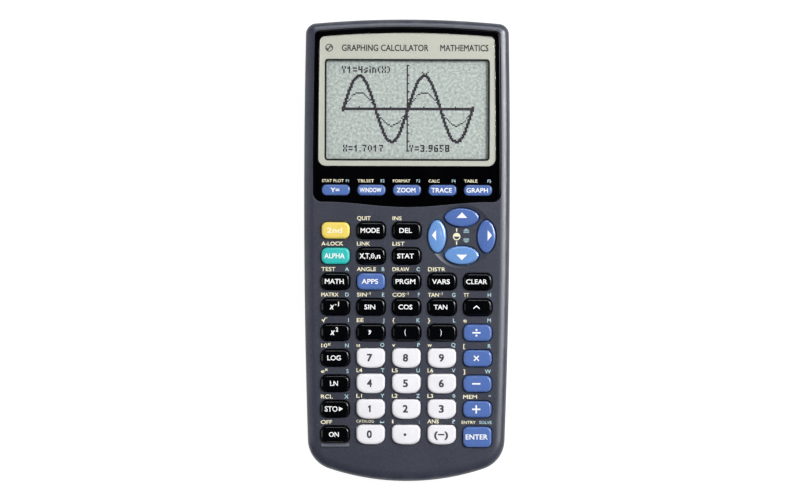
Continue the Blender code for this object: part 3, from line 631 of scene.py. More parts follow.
def jacket(low_y, high_y):
    """A cell's printed jacket: dark, with a bright band at one end and brushed reflections."""
    n = material_nodes("cell_jacket")
    share = n.ramp(n.axis(n.coordinates["Object"], "Y"), low_y * MM, high_y * MM)
    band = n.ramp(share, 0.70, 0.705)
    grain = n.noise(0.8, 3.0, stretch=(1, 0.1, 1))
    dark = n.mix(n.waver(grain), (0.02, 0.021, 0.024), (0.032, 0.033, 0.036))
    bright = n.mix(n.waver(grain), (0.38, 0.39, 0.40), (0.52, 0.53, 0.54))
    n.set(base_color=n.mix(band, dark, bright), metallic=n.ramp(band, 0, 1, 0.2, 0.75))
    n.set(roughness=n.waver(grain, 0.24, 0.34))
    n.bump(grain, 0.004)
    return n.owner


materials = {
    "case": case_plastic(),
    # The ON key guard is case plastic; this paler grey is a painted highlight along its crest.
    "guard": key_plastic("guard", (0.088, 0.094, 0.120), 0.36),
    "bezel": gloss_black(),
    "black": key_plastic("key_black", (0.0010, 0.0014, 0.0022), 0.15, 0.25, 0.35),
    "blue": key_plastic("key_blue", (0.088, 0.168, 0.46), 0.24),
    # A lighter copy of the blue plastic: a painted highlight on the left and down arrow keys, which tilt
    # towards the light.
    "blue_painted_lit": key_plastic("key_blue_lit", (0.145, 0.31, 0.66), 0.24),
    "white": key_plastic("key_white", (0.85, 0.84, 0.88), 0.42, 0.03),
    "yellow": key_plastic("key_yellow", (0.89, 0.68, 0.135), 0.34),
    "green": key_plastic("key_green", (0.025, 0.53, 0.50), 0.34),
    "lens": clear_lens(),
    "border": ink("window_print", (0.645, 0.645, 0.575), 0.45, 0.02),
    "line": ink("window_line", (0.010, 0.012, 0.013), 0.35),
    "film": lcd_film(),
    "dots": ink("lcd_dots", (0.016, 0.007, 0.022), 0.6, 0.5),
    "white_ink": ink("ink_white", (0.92, 0.92, 0.92), 0.4, 0.04),
    "black_ink": ink("ink_black", (0.035, 0.035, 0.04), 0.45, 0.2),
    "yellow_ink": ink("ink_yellow", (0.95, 0.88, 0.62), 0.45, 0.06),
    "teal_ink": ink("ink_teal", (0.47, 0.70, 0.75), 0.45, 0.08),
    "page_ink": ink("ink_page", (0.27, 0.42, 0.46), 0.45, 0.12),
    "cream_ink": ink("ink_cream", (0.93, 0.89, 0.72), 0.4, 0.05),
    "rubber": moulded("mat_rubber", (0.42, 0.43, 0.44), 0.75, 0.6, 0.01, 0.05),
    "pad": moulded("foot_rubber", (0.02, 0.02, 0.022), 0.85, 0.5, 0.03, 0.2),
    "board": board_mask(),
    "screw": metal("screw_steel", (0.55, 0.55, 0.57), 0.35),
    "nickel": metal("contact_nickel", (0.70, 0.68, 0.64), 0.28, (1, 8, 1)),
    "chip": moulded("chip_epoxy", (0.012, 0.012, 0.013), 0.55, 0.3, 0.01, 0.2),
}


# Keypad


class Key:
    """One key as the frame has it: its body's centre, size, heights and outline."""

    def __init__(self, name):
        self.name, self.node = name, f"key_{name}"
        low, high = box_mm(self.node)
        self.x, self.y = (low.x + high.x) / 2, (low.y + high.y) / 2
        self.width = high.x - low.x - 2 * KEY_FLANGE
        self.height = high.y - low.y - 2 * KEY_FLANGE
        self.flange_z, self.top_z = low.z, high.z - INK
        self.is_function = name in FUNCTION_KEYS
        self.is_arrow = name in OUTWARD
        self.is_number = name in NUMBER_KEYS
        self.face_z = BEZEL_Z if self.is_function else FACE_Z
        if self.is_arrow:
            self.face_z -= ARROW_DISH_DEPTH
        colours = {"second": "yellow", "alpha": "green"} | dict.fromkeys(BLUE_KEYS, "blue")
        self.colour = "white" if self.is_number else colours.get(name, "black")
        self.slot = f"key_{self.colour}"
        # The left and down arrow keys take the lighter copy of the blue, a painted highlight.
        if name in ("left", "down"):
            self.colour = "blue_painted_lit"

    def outline(self, grow=0.0):
        width, height = self.width + 2 * grow, self.height + 2 * grow
        if self.is_number:
            shape = number_outline(width / 2, height / 2, 2.1 + grow)
        elif self.is_arrow:
            shape = petal_outline(width / 2, height / 2)
        else:
            corner = 1.7 if self.is_function else 2.0 if self.name == "enter" else 2.3
            shape = rounded_rectangle(width, height, corner + grow)
        return moved(shape, self.x, self.y)


def signed_power(value, power):
    return copysign(abs(value) ** power, value)


def number_outline(half_wide, half_high, radius):
    """A number key: square shoulders on top, and a bottom half that is a superellipse."""
    power = 2 / 2.7
    points = []
    for side, start in ((1, 0), (-1, pi / 2)):
        centre = Vector((side * (half_wide - radius), half_high - radius))
        points += arc(centre, radius, start, start + pi / 2, 8)
    for i in range(1, 30):
        turn = pi * i / 30
        x, y = signed_power(cos(turn), power), sin(turn) ** power
        points.append(Vector((-half_wide * x, -half_high * y)))
    return points


def petal_outline(half_wide, half_high):
    """An arrow key: an ellipse drawn out a little at the ends of its long axis."""
    power = 2 / 1.8
    points = []
    for spoke in circle(1, 56):
        if half_wide > half_high:
            spoke.y = signed_power(spoke.y, power)
        else:
            spoke.x = signed_power(spoke.x, power)
        points.append(Vector((half_wide * spoke.x, half_high * spoke.y)))
    return points


keys = {name: Key(name) for name in KEY_NAMES}


def shoulder(edge, drop, full_round):
    """From a cap's wall to its top, as (inset, fall) pairs: a quarter round, or a crisp chamfer."""
    if full_round:
        return [(edge * (1 - cos(a)), drop * (1 - sin(a))) for a in quarter(9)]
    slope = atan2(drop, edge)
    low, high = 0.1, 0.9
    lower = [pi / 2 + (slope - pi / 2) * i / 3 for i in range(4)]
    upper = [slope * (1 - i / 7) for i in range(8)]
    pairs = [(low * (1 - sin(a)), drop - low * cos(a)) for a in lower]
    return pairs + [(edge - high * sin(a), high * (1 - cos(a))) for a in upper]


def build_keycap(key):
    """A moulded cap: flange, wall, a rounded shoulder and a slightly crowned top."""
    edge, drop, crown = 0.92, 0.62, 0.10
    if key.is_arrow:
        edge, drop, crown = 1.5, 0.62, 0.22
    elif key.is_function:
        edge, drop, crown = 0.65, 0.42, 0.08
    low, high = key.flange_z, key.flange_z + 1.0
    eased = KEY_FLANGE - 0.1
    sides = [(eased, low), (KEY_FLANGE, low + 0.1), (KEY_FLANGE, high - 0.1), (eased, high)]
    sides += [(0.06, high), (0.0, high + 0.06)]
    rim_z = key.top_z - crown
    sides += [(-inset, rim_z - fall) for inset, fall in shoulder(edge, drop, key.is_arrow)]
    rings = [at(key.outline(grow), z) for grow, z in sides]
    centre = Vector((key.x, key.y))
    for share in (0.85, 0.65, 0.45, 0.25):
        ring = [centre.lerp(p, share) for p in key.outline(-edge)]
        rings.append(at(ring, key.top_z - crown * share**2))
    bm = drawn(loft, rings, (key.x, key.y, key.top_z))
    if key.is_arrow:
        for v in bm.verts:
            if v.co.z > high + 0.1:
                v.co.z += ARROW_LEAN * (v.co.xy - centre).dot(Vector(OUTWARD[key.name]))
    name = f"cap_{key.name}"
    return piece(name, bm, key.colour, key.slot, key.node, body=key.node, sharp=50)


# Lettering

FONT = bpy.data.fonts.load("<builtin>")
CAP_SHARE = 0.682


def lettering(text, cap, width=None, weight=0.0, slant=0.0):
    """Lettering as solids 1 mm thick: its baseline is at 0 and it starts at x 0, in millimetres."""
    curve = bpy.data.curves.new("lettering", "FONT")
    curve.body, curve.font, curve.shear = text, FONT, slant
    curve.size, curve.resolution_u, curve.fill_mode = cap / CAP_SHARE, 3, "FRONT"
    holder = bpy.data.objects.new("lettering", curve)
    bm = copied(bpy.data.meshes.new_from_object(holder))
    bpy.data.objects.remove(holder)
    bpy.data.curves.remove(curve)
    bmesh.ops.remove_doubles(bm, verts=bm.verts, dist=0.002 * cap)
    low, high, _, _ = span(bm)
    stretch = width / (high - low) if width else 1.0
    for v in bm.verts:
        v.co = Vector(((v.co.x - low) * stretch, v.co.y, 0))
    bmesh.ops.triangulate(bm, faces=bm.faces[:])
    return embolden(raise_flat(bm), weight * cap)


def copied(data, bm=None):
    """Moves a mesh into a bmesh."""
    bm = bm or bmesh.new()
    bm.from_mesh(data)
    bpy.data.meshes.remove(data)
    return bm


def raise_flat(bm):
    """Turns flat faces into solids 1 mm thick."""
    grown = bmesh.ops.extrude_face_region(bm, geom=bm.faces[:])
    upper = [v for v in grown["geom"] if isinstance(v, bmesh.types.BMVert)]
    bmesh.ops.translate(bm, verts=upper, vec=(0, 0, 1))
    return bm


def embolden(bm, reach):
    """Joins four copies of upright solids, each moved a little to one corner."""
    if not reach:
        return bm
    corners = ((reach, -reach), (-reach, reach), (reach, reach))
    copies = [("UNION", shift(bm.copy(), *corner)) for corner in corners]
    made = add_object("lettering", mesh_from(shift(bm, -reach, -reach), "lettering"))
    carve(made, copies)
    data = made.data
    bpy.data.objects.remove(made)
    bold = copied(data)
    bold.transform(Matrix.Diagonal((1 / MM, 1 / MM, 1 / MM, 1)))
    return bold


def flat_shape(*outlines):
    """Solids 1 mm thick, one to each outline."""
    bm = bmesh.new()
    for outline in outlines:
        bm.faces.new([bm.verts.new((*p, 0)) for p in outline])
    return raise_flat(bm)


def shift(bm, x, y):
    bmesh.ops.translate(bm, verts=bm.verts[:], vec=(x, y, 0))
    return bm


def span(bm):
    """Lowest and highest x and y of a flat bmesh."""
    xs, ys = [v.co.x for v in bm.verts], [v.co.y for v in bm.verts]
    return min(xs), max(xs), min(ys), max(ys)


def centred(bm, x, y, cap):
    """Centres lettering on a point: by its width, and by its cap height."""
    low, high, _, _ = span(bm)
    return shift(bm, x - (low + high) / 2, y - cap / 2)


def drape(bm, height_at):
    """Lays upright solids on a surface, after cutting them finely enough to follow it."""
    low_x, high_x, low_y, high_y = span(bm)
    pitch = 0.75
    for low, high, way in ((low_x, high_x, Vector((1, 0, 0))), (low_y, high_y, Vector((0, 1, 0)))):
        for i in range(round(low / pitch), round(high / pitch) + 1):
            geometry = bm.verts[:] + bm.edges[:] + bm.faces[:]
            place = way * i * pitch
            bmesh.ops.bisect_plane(bm, geom=geometry, dist=0.0005, plane_co=place, plane_no=way)
    return lay(bm, height_at, 0.03, 0.06)


def lay(bm, height_at, above=0.02, below=0.05):
    """Squashes upright solids into a thin layer whose upper side stands just above a surface."""
    for v in bm.verts:
        v.co.z = height_at(v.co.x, v.co.y) + (above if v.co.z > 0.5 else -below)
    return bm


def level(z):
    """A flat surface for lay."""
    return lambda _x, _y: z


def merged(shapes):
    """One bmesh out of many."""
    whole = bmesh.new()
    for shape in shapes:
        data = bpy.data.meshes.new("part")
        shape.to_mesh(data)
        shape.free()
        copied(data, whole)
    return whole


def surface_height(made):
    """A function that gives the height in mm of a piece's upper side over a point in mm."""
    faces = [tuple(p.vertices) for p in made.data.polygons]
    tree = BVHTree.FromPolygons([v.co.copy() for v in made.data.vertices], faces)
    down = Vector((0, 0, -1))
    return lambda x, y: tree.ray_cast(Vector((x * MM, y * MM, 0.1)), down)[0].z / MM


def triangle(x, y, wide, high, turn):
    corners = ((-wide / 2, -high / 2), (wide / 2, -high / 2), (0, high / 2))
    return moved(corners, x, y, turn)


def ring_outline(centre, radius, thickness):
    """A flat ring as one outline with a hairline seam."""
    seam = 0.001
    inner = arc(centre, radius - thickness, tau - seam, seam, 32)
    return arc(centre, radius, seam, tau - seam, 32) + inner


def stroke(points, width):
    """A broad line through points as one outline."""
    points = [Vector(p) for p in points]
    left, right = [], []
    for i, point in enumerate(points):
        before, after = points[max(i - 1, 0)], points[min(i + 1, len(points) - 1)]
        along = (after - before).normalized()
        across = Vector((-along.y, along.x)) * width / 2
        if 0 < i < len(points) - 1:
            leg = (point - before).normalized()
            across /= max(0.35, abs(leg.dot(along)))
        left.append(point + across)
        right.append(point - across)
    return left + right[::-1]


# The words on the keys: the key, the words, their cap height and their width.
KEY_LEGENDS = table(
    """
    second 2nd 2.0 6.0
    mode MODE 1.85 7.5
    delete DEL 1.85 5.0
    alpha ALPHA 1.9 8.0
    stat STAT 1.85 6.6
    math MATH 1.85 7.5
    apps APPS 1.85 6.5
    program PRGM 1.85 7.8
    vars VARS 1.8 7.0
    clear CLEAR 1.8 8.3
    sin SIN 1.8 4.3
    cos COS 1.8 5.5
    tan TAN 1.8 5.3
    paren_open ( 2.05 0.62
    paren_close ) 2.05 0.62
    log LOG 1.9 5.3
    ln LN 1.9 3.1
    on ON 1.85 3.9
    enter ENTER 1.95 8.7
    negate (−) 2.4 5.3
    y_equals Y= 1.75 3.5
    window WINDOW 1.7 8.7
    zoom ZOOM 1.75 7.4
    trace TRACE 1.75 8.2
    graph GRAPH 1.75 8.5
    """
)
KEY_LEGENDS = {key: (text, float(cap), float(width)) for key, text, cap, width in KEY_LEGENDS}

# Over each key: the function it has after the second key with its width, then after the alpha key.
UPPER_LEGENDS = table(
    """
    y_equals STAT_PLOT 8.7 F1
    window TBLSET 6.6 F2
    zoom FORMAT 6.9 F3
    trace CALC 4.4 F4
    graph TABLE 5.3 F5
    mode QUIT 5.4
    delete INS 3.6
    alpha A-LOCK 8.6
    variable LINK 5.2
    stat LIST 4.8
    math TEST 5.6 A
    apps ANGLE 7.6 B
    program DRAW 6.7 C
    vars DISTR 6.9
    inverse MATRX 6.8 D
    sin SIN^-1 3.9 E
    cos COS^-1 4.9 F
    tan TAN^-1 4.3 G
    power pi 0 H
    square root 0 I
    comma EE 2.7 J
    paren_open { 0.9 K
    paren_close } 0.9 L
    divide e 1.3 M
    log 10^x 2.4 N
    7 u 1.2 O
    8 v 1.2 P
    9 w 1.6 Q
    multiply [ 0.7 R
    ln e^x 1.3 S
    4 L4 2.2 T
    5 L5 2.2 U
    6 L6 2.2 V
    minus ] 0.7 W
    store RCL 4.7 X
    1 L1 2.2 Y
    2 L2 2.2 Z
    3 L3 2.2 theta
    plus MEM 5.5 quote
    on OFF 4.4
    0 CATALOG 7.0 space
    point i 0.6 :
    negate ANS 4.5 ?
    enter ENTRY 5.6 SOLVE
    """
)


def bar(width, height, x=0.0, y=0.0, turn=0.0, corner=0.02):
    """A bar with its corners barely rounded."""
    return moved(rounded_rectangle(width, height, corner, 2), x, y, turn)


def drawn_sign(name, cap):
    """A sign that the font lacks, as solids on a baseline at 0: its strokes suit a cap height."""
    thick = 0.17 * cap
    lines = {
        "root": ((-0.75, 0.45), (-0.5, 0.58), (-0.22, 0.0), (0.22, 1.05), (0.8, 1.05)),
        "space": ((-0.62, 0.6), (-0.62, 0.1), (0.62, 0.1), (0.62, 0.6)),
        "comma": ((0.13, 0.4), (0.08, 0.05), (-0.22, -0.3)),
    }
    line = [Vector(p) * cap for p in lines.get(name, ())]
    if name == "theta":
        ring = [(p.x * 0.74, p.y) for p in ring_outline(Vector((0, 0)), cap / 2, thick)]
        return flat_shape(moved(ring, 0, cap / 2), bar(0.5 * cap, thick * 0.9, 0, cap / 2))
    if name == "pi":
        legs = [bar(thick, cap * 0.86, side * cap * 0.36, cap * 0.43) for side in (-1, 1)]
        return flat_shape(bar(1.5 * cap, thick, 0, cap * 0.92), *legs)
    if name == "quote":
        return flat_shape(*(bar(thick, cap * 0.4, side * cap * 0.18, cap * 0.8) for side in (-1, 1)))
    if name == "comma":
        return flat_shape(moved(circle(cap * 0.24, 20), 0, cap * 0.32), stroke(line, cap * 0.22))
    if line:
        return flat_shape(stroke(line, thick * (1.1 if name == "space" else 1.0)))
    return flat_shape(triangle(0, cap / 2, cap * 0.95, cap * 0.85, -pi / 2))


def in_line(gap, *parts):
    """Sets shapes side by side from x 0, with a gap between them."""
    place = 0.0
    for bm in parts:
        low, high, _, _ = span(bm)
        shift(bm, place - low, 0)
        place += high - low + gap
    return merged(parts)


def raised(base, upper, cap, base_width, upper_width, weight, slant=0.0):
    """Lettering with a smaller raised part after it."""
    scale = 0.95 if upper == "x" else 0.68
    power = shift(lettering(upper, cap * scale, upper_width, weight), 0, cap * 0.5)
    return in_line(cap * 0.08, lettering(base, cap, base_width, weight, slant), power)


def special_legend(name, weight):
    """The key legends that are put together from letters and drawn signs, and their cap height."""
    if name == "variable":
        parts = lettering("X,T,", 2.0, 4.2, weight), drawn_sign("theta", 2.0)
        return in_line(0.2, *parts, lettering(",n", 2.0, 2.0, weight)), 2.0
    if name == "inverse":
        return raised("x", "-1", 2.5, 1.75, 1.6, weight, 0.25), 1.9
    if name == "square":
        return raised("x", "2", 2.5, 1.85, 0.95, weight, 0.25), 1.9
    if name == "store":
        return in_line(0.45, lettering("STO", 2.0, 5.0, weight), drawn_sign("arrow", 2.0)), 2.0
    return drawn_sign("comma", 2.1), 0.3


def operator_outlines(name):
    """The drawn signs, round the origin: arithmetic signs, the power sign, the point, arrows."""
    if name in OUTWARD:
        x, y = OUTWARD[name]
        reach, depth = (1.3, 1.7) if x else (0.9, 2.2)
        return [triangle(x * reach, y * reach, 4.3, depth, atan2(-x, y))]
    long_bar = bar(3.3, 0.62, corner=0.1)
    arms = [bar(1.34, 0.62, s * 0.98, corner=0.05) for s in (-1, 1)]
    slanted_arms = [bar(1.15, 0.48, s * 0.577, s * 0.577, pi / 4, 0.05) for s in (1, -1)]
    return {
        "plus": [bar(0.62, 3.3, corner=0.1)] + arms,
        "minus": [long_bar],
        "divide": [long_bar] + [moved(circle(0.42, 20), 0, s * 1.12) for s in (1, -1)],
        "multiply": [bar(2.8, 0.48, turn=-pi / 4, corner=0.05)] + slanted_arms,
        "power": [stroke(((-1.25, -0.55), (0, 0.5), (1.25, -0.55)), 0.44)],
        "point": [circle(0.55, 24)],
    }[name]


def build_key_legend(key, cap_piece):
    """The sign printed on a keycap, as a thin raised layer of ink."""
    name, weight = key.name, 0.026
    usual = 0.35 if key.is_function else 0.0 if key.is_arrow else 0.5
    x = key.x - {"enter": 0.3, "negate": 0.3, "tan": 0.65}.get(name, usual)
    if name in ("variable", "inverse", "square", "store", "comma"):
        bm, cap = special_legend(name, weight)
        centred(bm, x, key.y, cap)
    elif name.startswith("paren"):
        bm = lettering(*KEY_LEGENDS[name])
        _, _, bottom, top = span(bm)
        centred(bm, x, key.y, bottom + top)
    elif name in KEY_LEGENDS:
        text, cap, width = KEY_LEGENDS[name]
        bm = lettering(text, cap, width, 0.055 if name == "negate" else weight)
        centred(bm, x, key.y, cap)
    elif name.isdigit():
        one = ((0.42, 0), (1.05, 0), (1.05, 2.8), (0.66, 2.8), (0, 2.35), (0, 1.75), (0.42, 1.98))
        bm = flat_shape(one) if name == "1" else lettering(name, 2.8, 1.8, 0.045)
        centred(bm, key.x * 1.0096 - 0.4, key.y + 0.12, 2.8)
    else:
        lift = 0.4 if name in ("left", "right") else 0.0
        bm = shift(flat_shape(*operator_outlines(name)), x, key.y + lift)
    colour = "black_ink" if key.is_number else "cream_ink" if name == "second" else "white_ink"
    drape(bm, surface_height(cap_piece))
    piece(f"legend_{name}", bm, colour, key.slot, body=key.node, sharp=20)


def upper_legend(text, cap, width, weight):
    """One of the small legends over the keys, in lettering or as a drawn sign."""
    if text in ("theta", "pi", "root", "quote", "space"):
        bm = drawn_sign(text, cap)
        return shift(bm, -span(bm)[0], 0)
    base, mark, power = text.partition("^")
    if mark:
        return raised(base, power, cap, width, 1.15 if power == "x" else 1.3, weight)
    return lettering(text.replace("_", " "), cap, width, weight)


def build_upper_legends():
    """The small printing over the keys, grouped by colour: yellow on the left, teal on the right."""
    yellow, teal = [], []
    for name, left_text, width, *right_text in UPPER_LEGENDS:
        key = keys[name]
        enter = name == "enter"
        cap = 1.15 if key.is_function or name in ("0", "enter") else 1.5
        row_y = key.y + ENTER_DROP if enter else key.y
        y = row_y + (NUMBER_LEGEND_RISE if key.is_number else LEGEND_RISE)
        if key.is_function:
            y = FUNCTION_LEGEND_Y
        face = level(BEZEL_Z if key.is_function else FACE_Z)
        left = key.x - key.width / 2 - (0.7 if enter else 0.1)
        right = key.x + key.width / 2 + (0.15 if enter else -0.3)
        weight = 0.012 if key.is_function else 0.0 if name == "0" else 0.021
        bm = upper_legend(left_text, cap, float(width), weight)
        yellow.append(lay(shift(bm, left, y - cap / 2), face))
        for text in right_text:
            bm = upper_legend(text, cap, {"SOLVE": 5.0, "?": 1.25}.get(text), weight * 0.75)
            teal.append(lay(shift(bm, right - span(bm)[1], y - cap / 2), face))
    piece("legends_yellow", merged(yellow), "yellow_ink", "case_grey", sharp=20)
    piece("legends_teal", merged(teal), "teal_ink", "case_grey", sharp=20)


def build_contrast_marks():
    """Between the arrow keys: a half-filled disc with a tick above and below, and two page marks."""
    floor = level(FACE_Z - ARROW_DISH_DEPTH)
    centre = Vector((19.93, 5.55))
    disc = [ring_outline(centre, 1.5, 0.4), arc(centre, 1.05, 0, pi, 16)]
    disc += [bar(0.45, 1.3, centre.x, centre.y + s * 2.6, corner=0.1) for s in (1, -1)]
    bm = lay(flat_shape(*disc), floor)
    piece("contrast_mark", bm, "yellow_ink", "case_grey", sharp=20)
    roof = ((-1.1, 0.12), (1.1, 0.12), (1.1, 0.35), (0, 1.15), (-1.1, 0.35))
    slab = ((-1.1, -0.65), (1.1, -0.65), (1.1, -0.12), (-1.1, -0.12))
    places = ((23.78, centre.y + 2.15, 0), (23.78, centre.y - 1.4, pi))
    pages = [moved(part, *place) for place in places for part in (roof, slab)]
    piece("page_marks", lay(flat_shape(*pages), floor), "page_ink", "case_grey", sharp=20)


# Cases


def draw_arrow_dish(bm):
    floor = FACE_Z - ARROW_DISH_DEPTH
    profile = [(ARROW_DISH_FLAT, floor)]
    for share in (i / 12 for i in range(1, 13)):
        radius = ARROW_DISH_FLAT + (ARROW_DISH_RADIUS - ARROW_DISH_FLAT) * share
        profile.append((radius, floor + ARROW_DISH_DEPTH * share**2))
    profile.append((ARROW_DISH_RADIUS + 0.05, FACE_Z + 1))
    turned(bm, profile, 96, standing(keys["up"].x, keys["left"].y))


def draw_key_openings(bm):
    for key in keys.values():
        low = (DISPLAY_FLOOR_Z if key.is_function else KEYPAD_CEILING_Z) - 1.2
        gap, flare = (ARROW_GAP, 0.12) if key.is_arrow else (KEY_GAP, 0.22)
        flared_cutter(bm, lambda grow: key.outline(gap + grow), low, key.face_z, flare)


def draw_front_posts(bm):
    studs(bm, SCREWS[:2], post(1.9, 9.3, DISPLAY_FLOOR_Z + 0.5))
    studs(bm, SCREWS[2:], post(1.9, 9.3, KEYPAD_CEILING_Z + 0.5))


def build_front_case():
    """The upper shell: rolled rim, bezel seat, arrow dish, eased key openings and screw posts."""
    pocket = case_outline(FRONT_WALL + 0.6, top_corner=1.5, top_y=16.2)
    arrow_pocket = (13.8, 30.2), (10, 18.1), (DISPLAY_FLOOR_Z - 0.6, KEYPAD_CEILING_Z - 0.1)
    steps = (
        cut(prism, case_outline(FRONT_WALL), SPLIT_Z - 2, DISPLAY_FLOOR_Z),
        cut(prism, pocket, DISPLAY_FLOOR_Z - 0.5, KEYPAD_CEILING_Z),
        cut(block, *arrow_pocket),
        cut(flared_cutter, lambda grow: bezel_outline(0.05 - grow), BEZEL_SEAT_Z, FACE_Z, 0.3),
        cut(prism, display_opening(2.8), DISPLAY_FLOOR_Z - 1, FACE_Z),
        cut(draw_arrow_dish),
        cut(draw_key_openings),
        join(draw_front_posts),
        cut(studs, SCREWS, post(0.9, 8.0, 15.0), 20),
    )
    bm = drawn(soft_prism, case_outline, SPLIT_Z, FACE_Z, RIM_ROUND, 0.0, 12, FRONT_ROUND)
    piece("front_shell", bm, "case", "case_grey", "front_case", steps=steps)


def build_on_key_guard():
    """The low bar below the ON key: a slope that faces the key, and a steep lower side. Its paler grey
    than the case is a painted highlight.
    """
    on = keys["on"]
    edge = on.y - on.height / 2
    foot = moved(rounded_rectangle(11.4, 1.5, 0.5), on.x, edge - 1.05)
    crest = moved(rounded_rectangle(11.0, 0.35, 0.15), on.x, edge - 1.55)
    rings = [at(foot, FACE_Z - 0.5), at(foot, FACE_Z + 0.06), at(crest, FACE_Z + 0.6)]
    piece("on_key_guard", drawn(loft, rings), "guard", "case_grey", sharp=60)


def draw_side_grooves(bm):
    """A groove along each side, which runs out at both ends."""
    low, high = -56.0, LENGTH / 2 - 12
    heights = [low + (high - low) * i / 28 for i in range(29)]
    for side in (1, -1):
        inner = []
        for y in heights:
            fade = min(1.0, (y - low) / 6.0 + 0.04, (high - y) / 6.0 + 0.04)
            half_width = WIDTH / 2 - (y - WIDEST_Y) ** 2 / (2 * SIDE_ARC)
            inner.append(Vector((side * (half_width - 1.2 * sin(fade * pi / 2)), y)))
        outer = [Vector((side * (WIDTH / 2 + 3), y)) for y in heights[::-1]]
        prism(bm, (inner + outer)[::side], 6.4, 8.2)


def draw_wells_and_stands(bm):
    studs(bm, SCREWS, post(3.4, REAR_FLOOR_Z - 0.9, 9.0))
    studs(bm, ((24.0, -62.0), (24.0, 6.0)), post(1.6, REAR_FLOOR_Z - 0.7, 10.7))


def draw_screw_holes(bm):
    mouth = [(2.9, BACK_Z - 1), (2.5, BACK_Z), (2.2, BACK_Z + 0.35), (2.2, 7.2)]
    studs(bm, SCREWS, mouth, 40)
    studs(bm, SCREWS, post(1.2, 6.0, 10.0), 24)


def build_rear_case():
    """The lower shell: rounded back, battery tub, screw wells, link port and side grooves."""
    top, floor, end = SPLIT_Z - SEAM, REAR_FLOOR_Z, -LENGTH / 2
    tub_width, tub_wall = 22.8, 3.6
    width, length = DOOR_WIDTH + 2 * DOOR_GAP, DOOR_LENGTH + 2 * DOOR_GAP
    opening = inset_rectangle(width, length, 0.4, DOOR_Y, 5)
    port = [(3.4, end - 3), (3.4, end - 0.02), (2.9, end + 0.5), (2.9, end + 6)]
    steps = (
        join(prism, case_outline(FRONT_WALL + SEAM), top - 3, SPLIT_Z + 1.5),
        cut(prism, case_outline(REAR_WALL), floor, SPLIT_Z + 3),
        cut(draw_side_grooves),
        join(block, around(0, tub_width + tub_wall), (27.2, 86.6), (floor - 1, 15.0)),
        join(draw_wells_and_stands),
        cut(block, around(0, tub_width), (29.0, 83.0), (floor - 0.5, 13.6)),
        cut(block, around(0, width / 2), around(DOOR_Y, length / 2), (-2.0, floor + 0.3)),
        cut(stack, opening, ((-0.5, BACK_Z - 1), (-0.3, BACK_Z), (0.1, BACK_Z + 0.35))),
        cut(draw_screw_holes),
        cut(studs, FEET, post(4.15, BACK_Z - 1, BACK_Z + 0.4), 56),
        cut(turned, port, 48, lying(0, PORT_Z)),
        join(blocks, *((around(x, 0.25), (44.0, 70.0), (9.5, 14.1)) for x in (-11.2, 0.0, 11.2))),
        join(blocks, *((around(x, 3.4), (28.5, 34.0), (4.7, 11.3)) for x in (16.8, -16.8))),
    )
    bm = drawn(soft_prism, case_outline, BACK_Z, top, 0.35, REAR_ROUND, 9)
    piece("rear_shell", bm, "case", "case_grey", "rear_case", steps=steps)


def build_feet():
    """Four soft pads with a rounded rim and a shallow dimple."""
    dimple = [(1.2, 0.12), (2.9, 0.03), (3.3, 0.0)]
    rim = [(3.75, 0.06), (3.95, 0.25), (4.0, 0.5), (4.0, 0.95)]
    piece("foot_pads", drawn(studs, FEET, dimple + rim, 56), "pad", "mat_rubber", sharp=40)


def draw_hooks(bm):
    low = DOOR_Y - DOOR_LENGTH / 2
    for x in (-14.0, 14.0):
        block(bm, around(x, 2.5), (low, low + 1.0), (REAR_FLOOR_Z - 0.4, 3.7))
        block(bm, around(x, 2.45), (29.5, low + 0.9), (REAR_FLOOR_Z + 0.3, 3.6))


def draw_grip(bm):
    sides = ((-0.35, DOOR_Z - 0.6), (-0.25, DOOR_Z), (0.0, DOOR_Z + 0.3), (0.15, DOOR_Z + 0.6))
    for i in range(5):
        stack(bm, inset_rectangle(16, 0.9, 0.44, 72.8 + 1.7 * i), sides)


def build_battery_door():
    """The door: softened edges, a ribbed thumb grip, hook tabs and a latch."""
    node = "battery_door"
    plate = inset_rectangle(DOOR_WIDTH, DOOR_LENGTH, 0.45, DOOR_Y, 4)
    bm = drawn(soft_prism, plate, DOOR_Z, REAR_FLOOR_Z, 0.0, 0.35)
    stem = (-4, 4), (80.6, 81.8), (REAR_FLOOR_Z - 0.4, 4.2)
    catch = (-3.9, 3.9), (81.7, 82.2), (3.2, 4.1)
    steps = join(draw_hooks), join(blocks, stem, catch), cut(draw_grip)
    piece("battery_cover", bm, "case", "case_grey", node, body=node, steps=steps)


def draw_recesses(bm):
    cross = []
    for i in range(4):
        cross += moved(((1.15, -0.2), (1.15, 0.2), (0.2, 0.2)), 0, 0, i * pi / 2 + 0.4)
    for spot in both_sides(SCREWS):
        prism(bm, moved(cross, *spot), 5.0, 6.5)


def build_screws():
    """Six pan-head screws with a cross recess, each standing in its well, head down."""
    head = [(0.9, 5.55), (1.5, 5.65), (1.95, 6.1), (2.0, 6.7), (2.0, 7.15), (1.1, 7.17), (1.0, 7.3)]
    threads = [(1.0, 7.5), (0.78, 7.775)]
    shank = [(radius, z + 0.55 * i) for i in range(12) for radius, z in threads]
    bm = drawn(studs, SCREWS, head + shank + [(0.3, 14.4)], 24)
    piece("case_screws", bm, "screw", "bezel_black", steps=[cut(draw_recesses)])


# Display


def draw_function_openings(bm):
    for name in FUNCTION_KEYS:
        flared_cutter(bm, lambda grow: keys[name].outline(KEY_GAP + grow), 17.0, BEZEL_Z, 0.2)


def build_bezel():
    """The polished black frame round the window and the function keys."""
    steps = (
        cut(flared_cutter, lambda grow: lens_outline(-0.12 - grow), lens_low.z - 0.3, BEZEL_Z, 0.15),
        cut(prism, display_opening(1), BEZEL_SEAT_Z - 1, BEZEL_Z),
        cut(draw_function_openings),
    )
    bm = drawn(soft_prism, lambda inset: bezel_outline(0.2 + inset), BEZEL_SEAT_Z + 0.3, BEZEL_Z, 0.4)
    piece("bezel_frame", bm, "bezel", "bezel_black", "display_bezel", steps=steps)


